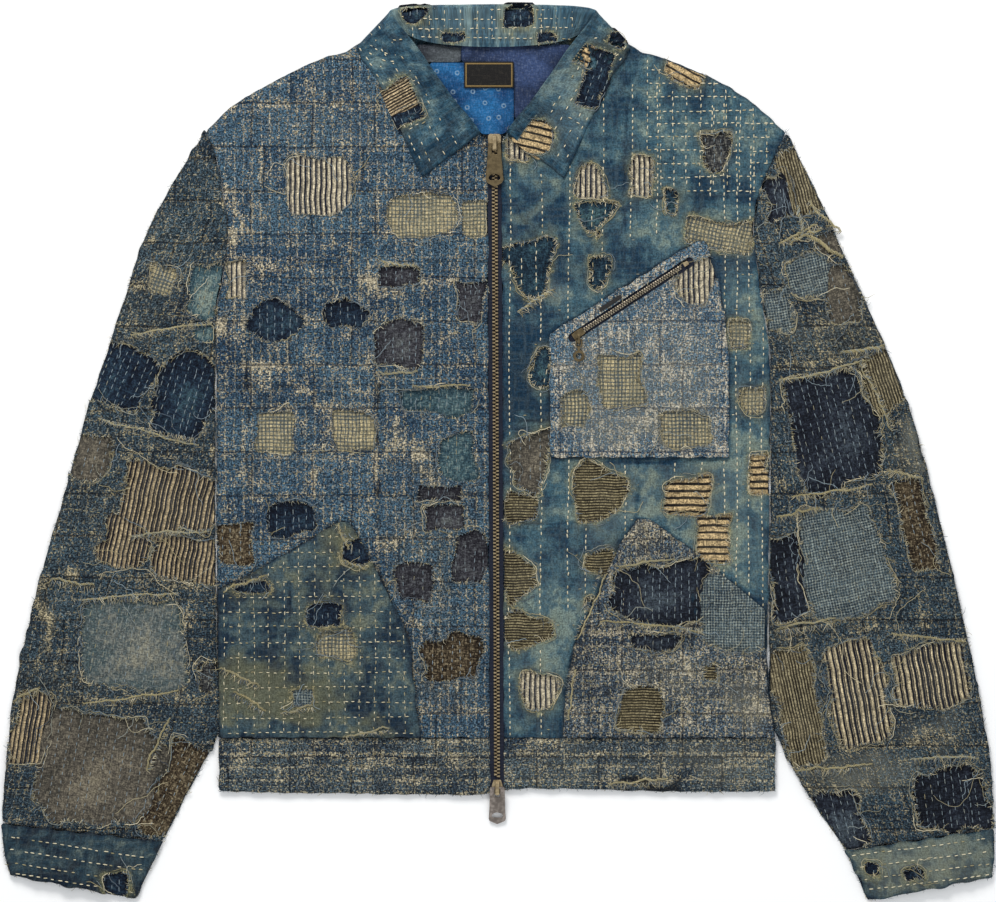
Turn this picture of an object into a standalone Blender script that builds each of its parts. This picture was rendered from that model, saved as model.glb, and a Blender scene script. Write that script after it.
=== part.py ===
"""Patched boro jacket: a zipped denim-weight jacket, laid flat on its back.

The tables are in millimetres, seen from above: +X runs to the wearer's left sleeve,
+Y to the collar and +Z up from the surface that the back lies on.
"""
import math

import bmesh
import bpy
from mathutils import Matrix, Vector

MM = 0.001

# Cloth
WALL = 2.2          # patched cloth, counting the patches behind it
THIN_WALL = 1.0     # lining, label, tapes and patches that lie on a panel
SEAM = 0.35         # gap between two pieces that meet edge to edge
LAY = 0.5           # gap between two pieces that lie on each other
LOFT = 1.3          # rise of the fronts between their edges
LINING_INSET = 2.0  # lining's edge, inside the collar's roll

# Garment lines
HEM_SEAM_Y = -269.0
SHOULDER_TIP_Y = 301.0
SHOULDER_TIP_X = {"right": -275.0, "left": 270.0}
COLLAR_MID_X = -4.5
ZIP_TOP_X = -3.2
ZIP_BOTTOM_X = -0.9
ZIP_TOP_Y = 287.0
ZIP_BOTTOM_Y = -307.0
TAPE_REACH = 6.3
TEETH_REACH = 2.85

# Collar fall tucked behind the neck: the back rises over it
NECK_RISE = WALL + LAY
NECK_RISE_FROM_Y = 300.0
NECK_RISE_TO_Y = 352.0
NECK_RISE_FULL_X = 150.0
NECK_RISE_NONE_X = 190.0

# Side line of the body, armhole above and side seam below: y, x of each side
SIDE_LINES = (
    # y, wearer's right, wearer's left
    (301.0, -275.0, 270.0),
    (286.0, -268.0, 264.0),
    (266.0, -262.0, 254.5),
    (243.0, -258.0, 245.0),
    (215.0, -254.0, 240.0),
    (190.0, -255.0, 242.0),
    (166.0, -258.0, 244.5),
    (143.0, -263.0, 248.0),
    (105.0, -265.0, 253.5),
    (60.0, -265.0, 256.0),
    (0.0, -265.0, 255.5),
    (-60.0, -265.0, 255.0),
    (-130.0, -264.5, 254.0),
    (-200.0, -264.0, 253.5),
    (-269.0, -263.0, 261.0),
)
ARMHOLE_POINTS = 8

# Upper edge of the back, from shoulder tip to shoulder tip
BACK_TOP = (
    # x, y
    (-275.0, 301.0),
    (-252.0, 324.5),
    (-228.0, 339.0),
    (-205.0, 351.5),
    (-181.0, 363.5),
    (-160.0, 372.0),
    (-144.0, 375.5),
    (-124.0, 388.0),
    (-99.0, 405.0),
    (-82.0, 395.0),
    (-48.0, 386.0),
    (-4.0, 384.0),
    (40.0, 386.0),
    (73.0, 395.0),
    (90.0, 405.0),
    (115.0, 388.0),
    (135.0, 375.5),
    (151.0, 372.0),
    (171.0, 364.5),
    (195.0, 355.0),
    (218.0, 343.0),
    (242.0, 326.5),
    (270.0, 301.0),
)

# Upper edge of a front, from its shoulder tip past the neck point to the zip
FRONT_TOP = (
    # x from the collar's middle, y
    (88.0, 401.0),
    (80.5, 390.0),
    (63.5, 366.0),
    (45.5, 341.0),
    (25.5, 316.0),
    (8.5, 292.0),
)

# Sleeve sections: outer and inner end, height in the middle, share of the armhole's curve
SLEEVE_RIGHT = (
    # outer x, outer y, inner x, inner y, height, curve
    (-276.0, 301.4, -264.0, 143.0, 4.9, 1.0),
    (-297.0, 267.0, -265.4, 120.0, 6.0, 0.55),
    (-316.0, 235.0, -266.0, 95.0, 7.0, 0.25),
    (-334.5, 196.0, -266.0, 60.0, 8.0, 0.0),
    (-352.0, 141.0, -266.0, 20.0, 8.0, 0.0),
    (-383.0, 49.0, -266.0, -40.0, 8.0, 0.0),
    (-409.5, -45.0, -265.6, -110.0, 8.0, 0.0),
    (-436.0, -139.0, -265.1, -180.0, 8.0, 0.0),
    (-456.0, -233.0, -264.3, -268.0, 8.0, 0.0),
    (-463.0, -295.0, -286.0, -309.0, 8.0, 0.0),
    (-466.5, -348.5, -315.0, -365.5, 8.0, 0.0),
)
SLEEVE_LEFT = (
    (271.0, 301.4, 249.0, 143.0, 4.9, 1.0),
    (291.0, 262.0, 252.8, 120.0, 6.0, 0.55),
    (307.0, 228.0, 256.2, 92.0, 7.0, 0.25),
    (325.0, 187.0, 257.0, 60.0, 8.0, 0.0),
    (347.0, 138.0, 257.0, 20.0, 8.0, 0.0),
    (385.0, 47.0, 256.4, -40.0, 8.0, 0.0),
    (410.5, -45.0, 255.6, -110.0, 8.0, 0.0),
    (433.5, -139.0, 255.2, -180.0, 8.0, 0.0),
    (453.5, -233.0, 263.0, -268.0, 8.0, 0.0),
    (463.0, -295.0, 277.0, -297.0, 8.0, 0.0),
    (466.5, -353.5, 327.0, -374.5, 8.0, 0.0),
)
CUFF_RIGHT = (
    (-466.5, -349.4, -315.6, -366.4, 8.0, 0.0),
    (-465.0, -374.0, -328.0, -393.0, 8.4, 0.0),
    (-459.0, -398.0, -341.0, -420.5, 8.4, 0.0),
)
CUFF_LEFT = (
    (466.7, -354.4, 327.2, -375.4, 8.0, 0.0),
    (466.7, -377.0, 338.0, -399.0, 8.4, 0.0),
    (465.0, -400.0, 348.0, -422.0, 8.4, 0.0),
)
RING_SHARES = (0.0, 0.07, 0.2, 0.34, 0.51, 0.68, 0.84, 0.94, 1.0)

# Lower edge of the hem band
HEM_EDGE = (
    # x, y
    (-264.0, -319.0),
    (-200.0, -320.5),
    (-139.0, -321.0),
    (-70.0, -322.0),
    (-8.0, -321.0),
    (7.0, -318.0),
    (58.0, -317.0),
    (143.0, -319.0),
    (200.0, -319.5),
    (262.0, -319.0),
)

# Collar sections on the wearer's right, from the zip to the back of the neck.  The stand
# runs from seam to roll and the fall from roll to edge; the left side mirrors them.
COLLAR = (
    # seam x, y; roll x, y; edge x, y; height inside, on and outside the roll; edge height
    (-21.0, 295.5, -16.0, 300.0, -71.0, 258.0, 9.0, 10.4, 9.6, None),
    (-31.0, 309.5, -26.0, 313.5, -80.0, 276.0, 10.0, 12.0, 11.4, None),
    (-44.0, 324.5, -39.0, 328.5, -91.0, 300.0, 11.5, 13.8, 13.0, None),
    (-56.0, 340.0, -50.5, 344.0, -103.0, 326.0, 12.5, 15.0, 14.0, None),
    (-68.0, 357.0, -62.5, 361.0, -115.0, 352.0, 13.0, 15.2, 14.0, None),
    (-79.0, 373.0, -74.0, 378.0, -128.0, 368.0, 13.0, 15.0, 13.6, None),
    (-87.0, 388.0, -89.0, 397.0, -136.0, 377.0, 12.6, 14.0, 12.4, 10.0),
    (-89.0, 393.0, -102.0, 411.8, -142.0, 380.5, 11.6, 12.0, 10.6, 9.6),
    (-87.0, 393.0, -105.5, 414.8, -146.0, 382.6, 10.8, 9.2, 6.2, 5.0),
    (-84.0, 392.0, -100.0, 416.8, -143.0, 377.0, 10.6, 7.0, 2.6, 1.1),
    (-78.0, 389.0, -88.0, 418.6, -126.0, 366.0, 10.4, 6.2, 1.6, 1.1),
    (-62.0, 384.6, -66.0, 420.0, -92.0, 361.0, 10.2, 5.8, 1.3, 1.1),
    (-34.0, 381.6, -36.0, 420.6, -48.0, 360.0, 10.2, 5.8, 1.3, 1.1),
    (-4.5, 380.6, -4.5, 421.0, -4.5, 360.0, 10.2, 5.8, 1.3, 1.1),
)
ROLL_REACH = 3.0
COLLAR_WALL = 2.2

# Hand pockets: y, outer x, inner x, up the pocket
POCKET_RIGHT = (
    (-268.4, -261.6, -73.0),
    (-225.0, -262.4, -78.0),
    (-172.0, -262.8, -84.0),
    (-138.0, -262.8, -102.0),
    (-130.0, -262.8, -105.0),
    (-109.0, -222.0, -115.0),
    (-85.0, -181.0, -128.5),
    (-66.0, -150.0, -140.0),
)
POCKET_LEFT = (
    (-268.4, 259.6, 60.0),
    (-225.0, 253.4, 64.0),
    (-185.0, 251.6, 70.0),
    (-165.0, 252.0, 78.0),
    (-148.0, 252.2, 87.0),
    (-126.0, 226.0, 98.0),
    (-88.0, 177.0, 114.0),
    (-63.0, 142.0, 131.0),
)
CHEST_POCKET = (
    # y, inner x, outer x
    (-5.0, 49.0, 217.0),
    (40.0, 49.0, 217.0),
    (91.0, 49.0, 217.0),
    (111.0, 49.0, 215.0),
    (129.0, 77.0, 213.0),
    (150.0, 110.0, 209.0),
    (172.0, 145.0, 204.0),
    (198.0, 186.0, 194.5),
)
CHEST_ZIP_FROM = (70.0, 107.5)
CHEST_ZIP_TO = (180.0, 179.0)
CHEST_SLOT_WIDTH = 8.4

# Largest patches, each lying on its panel
PATCHES = (
    # name, panel, centre x, y, width, height, turn in degrees, cloth
    ("patch_ticking_chest", "front", -169.0, 250.0, 60.0, 48.0, 0.0, "ticking"),
    ("patch_check_chest", "front", -67.0, 223.0, 66.0, 38.0, 0.0, "check"),
    ("patch_charcoal_chest", "front", -93.0, 102.0, 42.0, 38.0, 0.0, "charcoal"),
    ("patch_navy_chest", "front", -210.0, 123.0, 45.0, 38.0, 0.0, "navy"),
    ("patch_brown_front", "front", -43.0, -194.0, 56.0, 42.0, 0.0, "brown"),
    ("patch_torn_indigo", "front", 30.0, 174.0, 38.0, 48.0, 0.0, "navy"),
    ("patch_khaki_front", "front", 28.0, -11.0, 36.0, 56.0, 0.0, "khaki"),
    ("patch_cream_stripe", "front", 178.0, -45.0, 40.0, 34.0, 0.0, "ticking"),
    ("patch_navy_sleeve_right", "sleeve_right", -347.0, 66.0, 44.0, 56.0, -20.0, "navy"),
    ("patch_ticking_sleeve_right", "sleeve_right", -307.0, -43.0, 64.0, 44.0, -14.0, "ticking"),
    ("patch_teal_sleeve_right", "sleeve_right", -341.0, -180.0, 90.0, 78.0, -10.0, "teal"),
    ("patch_grey_sleeve_right", "sleeve_right", -380.0, -296.0, 108.0, 98.0, -10.0, "grey"),
    ("patch_navy_sleeve_left", "sleeve_left", 313.0, 20.0, 72.0, 106.0, 14.0, "navy"),
    ("patch_check_sleeve_left", "sleeve_left", 322.0, -104.0, 86.0, 104.0, 10.0, "check"),
    ("patch_brown_sleeve_left", "sleeve_left", 390.0, -67.0, 30.0, 76.0, 14.0, "brown"),
    ("patch_khaki_sleeve_left", "sleeve_left", 286.0, -232.0, 34.0, 92.0, 12.0, "khaki"),
)

# Sliders and pulls
AXIS_Z = 7.7
BAR = 1.5           # thickness of a pull's plate and crossbar
SLIDER_PLATE = 1.5
CHEST_BAIL_WIDTH = 2.2
RING_CENTRE = 14.8  # chest pull's ring, from its crossbar
RING_RADIUS = 5.4
RING_EYE = 3.0
TOP_HINGE = (-3.3, 290.0)
BOTTOM_HINGE = (-0.7, -315.6)
BOTTOM_DROOP = math.radians(10.3)
CHEST_HINGE = (76.0, 105.0)
CHEST_AXIS_Z = 10.9
CHEST_DROOP = math.radians(3.5)

CLOTHS = {
    # name: red, green, blue, roughness, metallic
    "mottled": (0.085, 0.115, 0.145, 0.95, 0.0),
    "indigo": (0.06, 0.1, 0.13, 0.95, 0.0),
    "navy": (0.02, 0.035, 0.06, 0.95, 0.0),
    "ticking": (0.32, 0.27, 0.2, 0.95, 0.0),
    "check": (0.2, 0.19, 0.14, 0.95, 0.0),
    "charcoal": (0.05, 0.05, 0.055, 0.95, 0.0),
    "brown": (0.08, 0.065, 0.045, 0.95, 0.0),
    "khaki": (0.14, 0.12, 0.08, 0.95, 0.0),
    "teal": (0.1, 0.14, 0.13, 0.95, 0.0),
    "grey": (0.09, 0.085, 0.075, 0.95, 0.0),
    "lining_blue": (0.02, 0.11, 0.28, 0.85, 0.0),
    "lining_violet": (0.04, 0.07, 0.15, 0.85, 0.0),
    "lining_grey": (0.055, 0.055, 0.06, 0.85, 0.0),
    "label": (0.015, 0.013, 0.012, 0.8, 0.0),
    "tape": (0.012, 0.016, 0.04, 0.9, 0.0),
    "brass": (0.42, 0.3, 0.16, 0.35, 1.0),
    "bronze": (0.2, 0.16, 0.11, 0.45, 1.0),
    "nickel": (0.26, 0.24, 0.21, 0.4, 1.0),
}


def material(name):
    found = bpy.data.materials.get(name)
    if found:
        return found
    red, green, blue, roughness, metallic = CLOTHS[name]
    made = bpy.data.materials.new(name)
    made.use_nodes = True
    shader = made.node_tree.nodes["Principled BSDF"]
    shader.inputs["Base Color"].default_value = (red, green, blue, 1.0)
    shader.inputs["Roughness"].default_value = roughness
    shader.inputs["Metallic"].default_value = metallic
    made.diffuse_color = (red, green, blue, 1.0)
    return made


def clamp(value):
    return max(0.0, min(1.0, value))


def mix(start, end, share):
    return start + (end - start) * share


def along(table, at, column=1):
    """Value of a column at a place in the table's first column, read on straight lines."""
    rows = sorted(table)
    if at <= rows[0][0]:
        return rows[0][column]
    for low, high in zip(rows, rows[1:]):
        if at <= high[0]:
            share = (at - low[0]) / (high[0] - low[0])
            return mix(low[column], high[column], share)
    return rows[-1][column]


def add_object(name, mesh, cloth):
    obj = bpy.data.objects.new(name, mesh)
    obj.data.materials.append(material(cloth))
    bpy.context.scene.collection.objects.link(obj)
    return obj


def closed_mesh(name, top, bottom, wrapped=False):
    """Closed solid between two grids of points, given row by row in millimetres."""
    rows = len(top)
    columns = len(top[0])
    work = bmesh.new()
    upper = [[work.verts.new(Vector(p) * MM) for p in row] for row in top]
    lower = [[work.verts.new(Vector(p) * MM) for p in row] for row in bottom]
    spans = columns if wrapped else columns - 1
    for r in range(rows - 1):
        for c in range(spans):
            d = (c + 1) % columns
            work.faces.new((upper[r][c], upper[r][d], upper[r + 1][d], upper[r + 1][c]))
            work.faces.new((lower[r][c], lower[r + 1][c], lower[r + 1][d], lower[r][d]))
    for c in range(spans):
        d = (c + 1) % columns
        for r in (0, rows - 1):
            work.faces.new((upper[r][c], upper[r][d], lower[r][d], lower[r][c]))
    if not wrapped:
        for r in range(rows - 1):
            for c in (0, columns - 1):
                work.faces.new((upper[r][c], upper[r + 1][c], lower[r + 1][c], lower[r][c]))
    bmesh.ops.triangulate(work, faces=work.faces, quad_method="BEAUTY")
    bmesh.ops.recalc_face_normals(work, faces=work.faces)
    mesh = bpy.data.meshes.new(name)
    work.to_mesh(mesh)
    work.free()
    return mesh


def slab(name, plan, underside, wall, cloth):
    """Sheet of cloth: rows of (x, y) points on the surface that underside(x, y) gives."""
    bottom = [[(x, y, underside(x, y)) for x, y in row] for row in plan]
    top = [[(x, y, z + wall) for x, y, z in row] for row in bottom]
    return add_object(name, closed_mesh(name, top, bottom), cloth)


def neck_rise(x, y):
    up = clamp((y - NECK_RISE_FROM_Y) / (NECK_RISE_TO_Y - NECK_RISE_FROM_Y))
    reach = abs(x - COLLAR_MID_X)
    side = clamp((NECK_RISE_NONE_X - reach) / (NECK_RISE_NONE_X - NECK_RISE_FULL_X))
    return NECK_RISE * up * side


def back_top(x, y):
    return neck_rise(x, y) + WALL


def front_under(x, y):
    """Underside of a front: it lies on the back, with a slight rise between its edges."""
    across = clamp((abs(x) - 12.0) / 235.0)
    up = clamp((y - HEM_SEAM_Y) / (280.0 - HEM_SEAM_Y))
    rise = LOFT * math.sin(math.pi * across) * math.sin(math.pi * up)
    return back_top(x, y) + LAY + rise


def front_top(x, y):
    return front_under(x, y) + WALL


def pocket_top(x, y):
    return front_top(x, y) + LAY + WALL


def zip_x(y):
    share = clamp((ZIP_TOP_Y - y) / (ZIP_TOP_Y - ZIP_BOTTOM_Y))
    return mix(ZIP_TOP_X, ZIP_BOTTOM_X, share)


def side_x(y, side):
    return along(SIDE_LINES, y, 1 if side == "right" else 2)


ROWS_BELOW = sorted({row[0] for row in SIDE_LINES} - {HEM_SEAM_Y, SHOULDER_TIP_Y})
ROWS_ABOVE = 9


def panel_plan(tops, left_x, right_x):
    """Grid of a body panel: columns share the width and rows run from hem to top edge."""
    first = tops[0][0]
    last = tops[-1][0]
    plan = []
    lower = [HEM_SEAM_Y + SEAM] + ROWS_BELOW
    for y in lower:
        row = []
        for x_top, y_top in tops:
            share = (x_top - first) / (last - first)
            height = min(y, y_top - 4.0)
            row.append((mix(left_x(height), right_x(height), share), height))
        plan.append(row)
    start_y = lower[-1]
    for step in range(1, ROWS_ABOVE + 1):
        row = []
        for x_top, y_top in tops:
            share = (x_top - first) / (last - first)
            y = mix(min(start_y, y_top - 4.0), y_top, step / ROWS_ABOVE)
            row.append((mix(left_x(y), right_x(y), share), y))
        plan.append(row)
    return plan


def make_back():
    plan = panel_plan(BACK_TOP, lambda y: side_x(y, "right"), lambda y: side_x(y, "left"))
    slab("back", plan, neck_rise, WALL, "mottled")


def make_front(side):
    sign = -1.0 if side == "right" else 1.0
    shoulder = [row for row in BACK_TOP if sign * (row[0] - COLLAR_MID_X) > 90.0]
    neck = [(COLLAR_MID_X + sign * x, y) for x, y in FRONT_TOP]
    tops = sorted(shoulder + neck)
    edge = TAPE_REACH + SEAM
    if side == "right":
        plan = panel_plan(tops, lambda y: side_x(y, side), lambda y: zip_x(y) - edge)
    else:
        plan = panel_plan(tops, lambda y: zip_x(y) + edge, lambda y: side_x(y, side))
    slab("front_" + side, plan, front_under, WALL, "mottled" if side == "right" else "indigo")


def armhole_bow(side):
    """How far the armhole's curve stands off a straight line, at each place around a ring."""
    rows = SIDE_LINES[:ARMHOLE_POINTS]
    clear = -0.8 if side == "right" else 0.8
    column = 1 if side == "right" else 2
    start = Vector((rows[0][column], rows[0][0]))
    end = Vector((rows[-1][column], rows[-1][0]))
    bows = []
    for share in RING_SHARES:
        y = mix(start.y, end.y, share)
        x = along(SIDE_LINES, y, column)
        bows.append(x + clear - (mix(start.x, end.x, share) + clear))
    return bows


def ring(station, bows, wall):
    """Outer and inner loop of a flattened tube's section."""
    outer_x, outer_y, inner_x, inner_y, height, curve = station
    edge_height = 2.0 * WALL + LAY
    line = []
    for share, bow in zip(RING_SHARES, bows):
        x = mix(outer_x, inner_x, share) + bow * curve
        y = mix(outer_y, inner_y, share)
        crown = mix(edge_height, height, math.sin(math.pi * share) ** 0.6 if share else 0.0)
        line.append((x, y, crown))
    span = Vector((inner_x - outer_x, inner_y - outer_y)).normalized()
    outer = []
    inner = []
    last = len(line) - 1
    for index, (x, y, crown) in enumerate(line):
        if index in (0, last):
            turn = 1.0 if index == 0 else -1.0
            tip = Vector((x, y)) + span * turn * wall
            outer.append((x, y, edge_height / 2.0))
            inner.append((tip.x, tip.y, edge_height / 2.0))
        else:
            outer.append((x, y, crown))
            inner.append((x, y, max(crown - wall, wall + 0.3)))
    for index in range(last - 1, 0, -1):
        x, y, crown = line[index]
        outer.append((x, y, 0.0))
        inner.append((x, y, wall))
    return outer, inner


def make_tube(name, stations, bows, wall, cloth):
    loops = [ring(station, bows, wall) for station in stations]
    outer = [loop[0] for loop in loops]
    inner = [loop[1] for loop in loops]
    return add_object(name, closed_mesh(name, outer, inner, wrapped=True), cloth)


def make_hem(name, from_x, to_x, underside, cloth):
    """Hem band between two columns of the hem's lower edge."""
    inner = [row for row in HEM_EDGE if from_x < row[0] < to_x]
    xs = [from_x] + [row[0] for row in inner] + [to_x]
    upper = [(x, HEM_SEAM_Y - SEAM) for x in xs]
    middle = [(x, (HEM_SEAM_Y + along(HEM_EDGE, x)) / 2.0) for x in xs]
    lower = [(x, along(HEM_EDGE, x)) for x in xs]
    slab(name, [lower, middle, upper], underside, WALL, cloth)


def hem_back_under(x, y):
    return 0.0


def hem_front_under(x, y):
    return WALL + LAY


def collar_section(row):
    seam_x, seam_y, roll_x, roll_y, edge_x, edge_y = row[:6]
    z_in, z_roll, z_out, z_edge = row[6:]
    seam = Vector((seam_x, seam_y))
    roll = Vector((roll_x, roll_y))
    edge = Vector((edge_x, edge_y))
    lie = WALL / 2.0 + LAY
    seam_z = front_top(seam_x, seam_y) + lie
    if seam_y > 380.0 and z_edge is not None:
        seam_z = max(front_top(seam_x, seam_y), back_top(seam_x, seam_y)) + lie
    fall_out = (edge - roll).normalized() * ROLL_REACH
    stand_in = (seam - roll).normalized() * ROLL_REACH
    points = [
        (seam, seam_z),
        (seam.lerp(roll, 0.5), mix(seam_z, z_in, 0.6)),
        (roll + stand_in, z_in),
        (roll, z_roll),
        (roll + fall_out, z_out),
    ]
    for share, drop in ((0.3, 0.55), (0.6, 0.85), (0.85, 1.0), (1.0, 1.0)):
        place = roll.lerp(edge, share)
        rest = z_edge
        if rest is None:
            rest = front_top(place.x, place.y) + lie
        points.append((place, mix(z_out, rest, drop)))
    return [(p.x, p.y, z) for p, z in points]


def make_collar():
    right = [collar_section(row) for row in COLLAR]
    left = [[(2.0 * COLLAR_MID_X - x, y, z) for x, y, z in row] for row in right[:-1]]
    rows = right + left[::-1]
    work = bmesh.new()
    grid = [[work.verts.new(Vector(p) * MM) for p in row] for row in rows]
    for low, high in zip(grid, grid[1:]):
        for c in range(len(low) - 1):
            work.faces.new((low[c], low[c + 1], high[c + 1], high[c]))
    bmesh.ops.recalc_face_normals(work, faces=work.faces)
    mesh = bpy.data.meshes.new("collar")
    work.to_mesh(mesh)
    work.free()
    obj = add_object("collar", mesh, "indigo")
    wall = obj.modifiers.new("wall", "SOLIDIFY")
    wall.thickness = COLLAR_WALL * MM
    wall.offset = 0.0
    wall.use_quality_normals = True


def strip_plan(rows, columns=6):
    """Grid of a pocket: each row of the table runs from its first to its second x."""
    plan = []
    for y, first, second in rows:
        shares = [c / columns for c in range(columns + 1)]
        plan.append([(mix(first, second, share), y) for share in shares])
    return plan


def pocket_under(x, y):
    return front_top(x, y) + LAY


def make_pockets():
    slab("pocket_right", strip_plan(POCKET_RIGHT), pocket_under, WALL, "indigo")
    slab("pocket_left", strip_plan(POCKET_LEFT), pocket_under, WALL, "mottled")
    pocket = slab("chest_pocket", strip_plan(CHEST_POCKET), pocket_under, WALL, "mottled")
    cut_slot(pocket)


def chest_line():
    start = Vector(CHEST_ZIP_FROM)
    end = Vector(CHEST_ZIP_TO)
    return start, end, (end - start).normalized()


def oblong(start, end, half_width, z_from, z_to, name, cloth, round_steps=6):
    """Bar with round ends between two plan points."""
    way = (end - start).normalized()
    side = Vector((-way.y, way.x))
    outline = []
    for centre, first in ((end, -90.0), (start, 90.0)):
        for step in range(round_steps + 1):
            angle = math.radians(first + 180.0 * step / round_steps)
            outline.append(centre + way * math.cos(angle) * half_width
                           + side * math.sin(angle) * half_width)
    return prism(name, outline, z_from, z_to, cloth)


def prism(name, outline, z_from, z_to, cloth):
    """Flat plate of a plan outline, from one height to another."""
    work = bmesh.new()
    face = work.faces.new([work.verts.new(Vector((p[0], p[1], z_from)) * MM) for p in outline])
    grown = bmesh.ops.extrude_face_region(work, geom=[face])
    moved = [item for item in grown["geom"] if isinstance(item, bmesh.types.BMVert)]
    bmesh.ops.translate(work, verts=moved, vec=Vector((0.0, 0.0, z_to - z_from)) * MM)
    bmesh.ops.recalc_face_normals(work, faces=work.faces)
    mesh = bpy.data.meshes.new(name)
    work.to_mesh(mesh)
    work.free()
    return add_object(name, mesh, cloth)


def as_tool(obj):
    obj.hide_render = True
    obj.display_type = "WIRE"
    return obj


def boolean(obj, tool, operation):
    change = obj.modifiers.new(operation.lower(), "BOOLEAN")
    change.operation = operation
    change.object = as_tool(tool)


def cut_slot(pocket):
    start, end, way = chest_line()
    cutter = oblong(start, end, CHEST_SLOT_WIDTH / 2.0, 4.0, 14.0, "slot_cutter", "tape")
    boolean(pocket, cutter, "DIFFERENCE")


def make_chest_zip():
    start, end, way = chest_line()
    reach = CHEST_SLOT_WIDTH / 2.0 - SEAM
    side = Vector((-way.y, way.x))
    middle = (start + end) / 2.0
    floor = max(front_top(p.x, p.y) for p in (start, middle, end)) + LAY
    oblong(start, end, reach, floor, floor + 0.9, "chest_zip_tape", "tape")
    teeth_from = start + way * 13.5
    teeth_to = end - way * 7.0
    low = floor + 0.9 + SEAM
    outline = [teeth_from - side * 1.8, teeth_to - side * 1.8,
               teeth_to + side * 1.8, teeth_from + side * 1.8]
    prism("chest_zip_teeth", outline, low, low + 1.5, "brass")
    stop = [end - way * 6.5 - side * 1.9, end - way * 1.5 - side * 1.9,
            end - way * 1.5 + side * 1.9, end - way * 6.5 + side * 1.9]
    prism("chest_zip_stop", stop, low, low + 1.8, "brass")
    return low


def make_lining():
    def under(x, y):
        return back_top(x, y) + LAY

    def roll(y, side):
        points = [(row[3], row[2]) for row in COLLAR[:7]]
        x = along(points, y) + LINING_INSET
        return x if side == "right" else 2.0 * COLLAR_MID_X - x

    blue = []
    for y in (304.0, 318.0, 332.0, 346.0, 357.0, 366.0):
        right_end = min(roll(y, "left"), 14.8)
        if y > 357.5:
            right_end = -20.0
        blue.append([(mix(roll(y, "right"), right_end, s), y) for s in (0.0, 0.5, 1.0)])
    slab("lining_blue", blue, under, THIN_WALL, "lining_blue")
    violet = []
    for y in (329.0, 338.0, 346.0, 357.0, 367.0, 378.0):
        left_end = 15.3
        if y > 357.5:
            left_end = -19.4 if y < 370.0 else -34.5
        violet.append([(mix(left_end, roll(y, "left"), s), y) for s in (0.0, 0.5, 1.0)])
    slab("lining_violet", violet, under, THIN_WALL, "lining_violet")
    grey = []
    for y in (367.5, 378.0):
        grey.append([(mix(roll(y, "right"), -35.2, s), y) for s in (0.0, 0.5, 1.0)])
    slab("lining_grey", grey, under, THIN_WALL, "lining_grey")

    def on_lining(x, y):
        return under(x, y) + THIN_WALL + LAY

    label = [[(x, y) for x in (-32.0, -8.5, 15.0)] for y in (342.0, 351.0, 360.0, 367.0)]
    slab("neck_label", label, on_lining, THIN_WALL, "label")


def make_zip():
    low = WALL + LAY + 0.3
    top_y = 299.0
    ys = [mix(ZIP_BOTTOM_Y - 11.0, top_y, step / 12.0) for step in range(13)]
    for side, sign in (("right", -1.0), ("left", 1.0)):
        plan = [[(zip_x(y) + sign * 0.15, y), (zip_x(y) + sign * TAPE_REACH, y)] for y in ys]
        slab("zip_tape_" + side, plan, lambda x, y: back_top(x, y) + LAY + 0.3, THIN_WALL, "tape")
    teeth = [mix(ZIP_BOTTOM_Y, 282.8, step / 8.0) for step in range(9)]
    plan = [[(zip_x(y) - TEETH_REACH, y), (zip_x(y) + TEETH_REACH, y)] for y in teeth]
    slab("zip_teeth", plan, lambda x, y: low + THIN_WALL + SEAM, 1.8, "brass")
    return low + THIN_WALL + SEAM


def plate_outline(rows):
    """Outline of a symmetric plate: (distance along, half width) down its length."""
    right = [(half, -at) for at, half in rows]
    left = [(-half, -at) for at, half in rows[::-1] if half > 0.0]
    return right + left


def bridge(name, profile, width, cloth):
    """Strap of one width whose side view is a closed outline of (y, z) points."""
    work = bmesh.new()
    corners = [work.verts.new(Vector((-width / 2.0, y, z)) * MM) for y, z in profile]
    face = work.faces.new(corners)
    grown = bmesh.ops.extrude_face_region(work, geom=[face])
    moved = [item for item in grown["geom"] if isinstance(item, bmesh.types.BMVert)]
    bmesh.ops.translate(work, verts=moved, vec=Vector((width, 0.0, 0.0)) * MM)
    bmesh.ops.recalc_face_normals(work, faces=work.faces)
    mesh = bpy.data.meshes.new(name)
    work.to_mesh(mesh)
    work.free()
    return add_object(name, mesh, cloth)


def make_slider(name, hinge, low, plate, bail, cloth):
    """Slider's top plate with its bail, a bridge that the pull's crossbar runs under."""
    body = prism(name, plate_outline(plate), low, low + SLIDER_PLATE, cloth)
    back, front, width, top = bail
    foot = low + SLIDER_PLATE - 0.3
    profile = (
        (back, foot), (back, top - 1.6), (back - 1.6, top), (front + 1.6, top),
        (front, top - 1.6), (front, foot), (front + 1.7, foot),
        (front + 1.7, top - 2.3), (front + 2.2, top - 1.5), (back - 2.2, top - 1.5),
        (back - 1.7, top - 2.3), (back - 1.7, foot),
    )
    strap = bridge(name + "_bail", profile, width, cloth)
    boolean(body, strap, "UNION")
    for obj in (body, strap):
        obj.location = Vector((hinge[0], hinge[1], 0.0)) * MM
    return body


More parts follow.
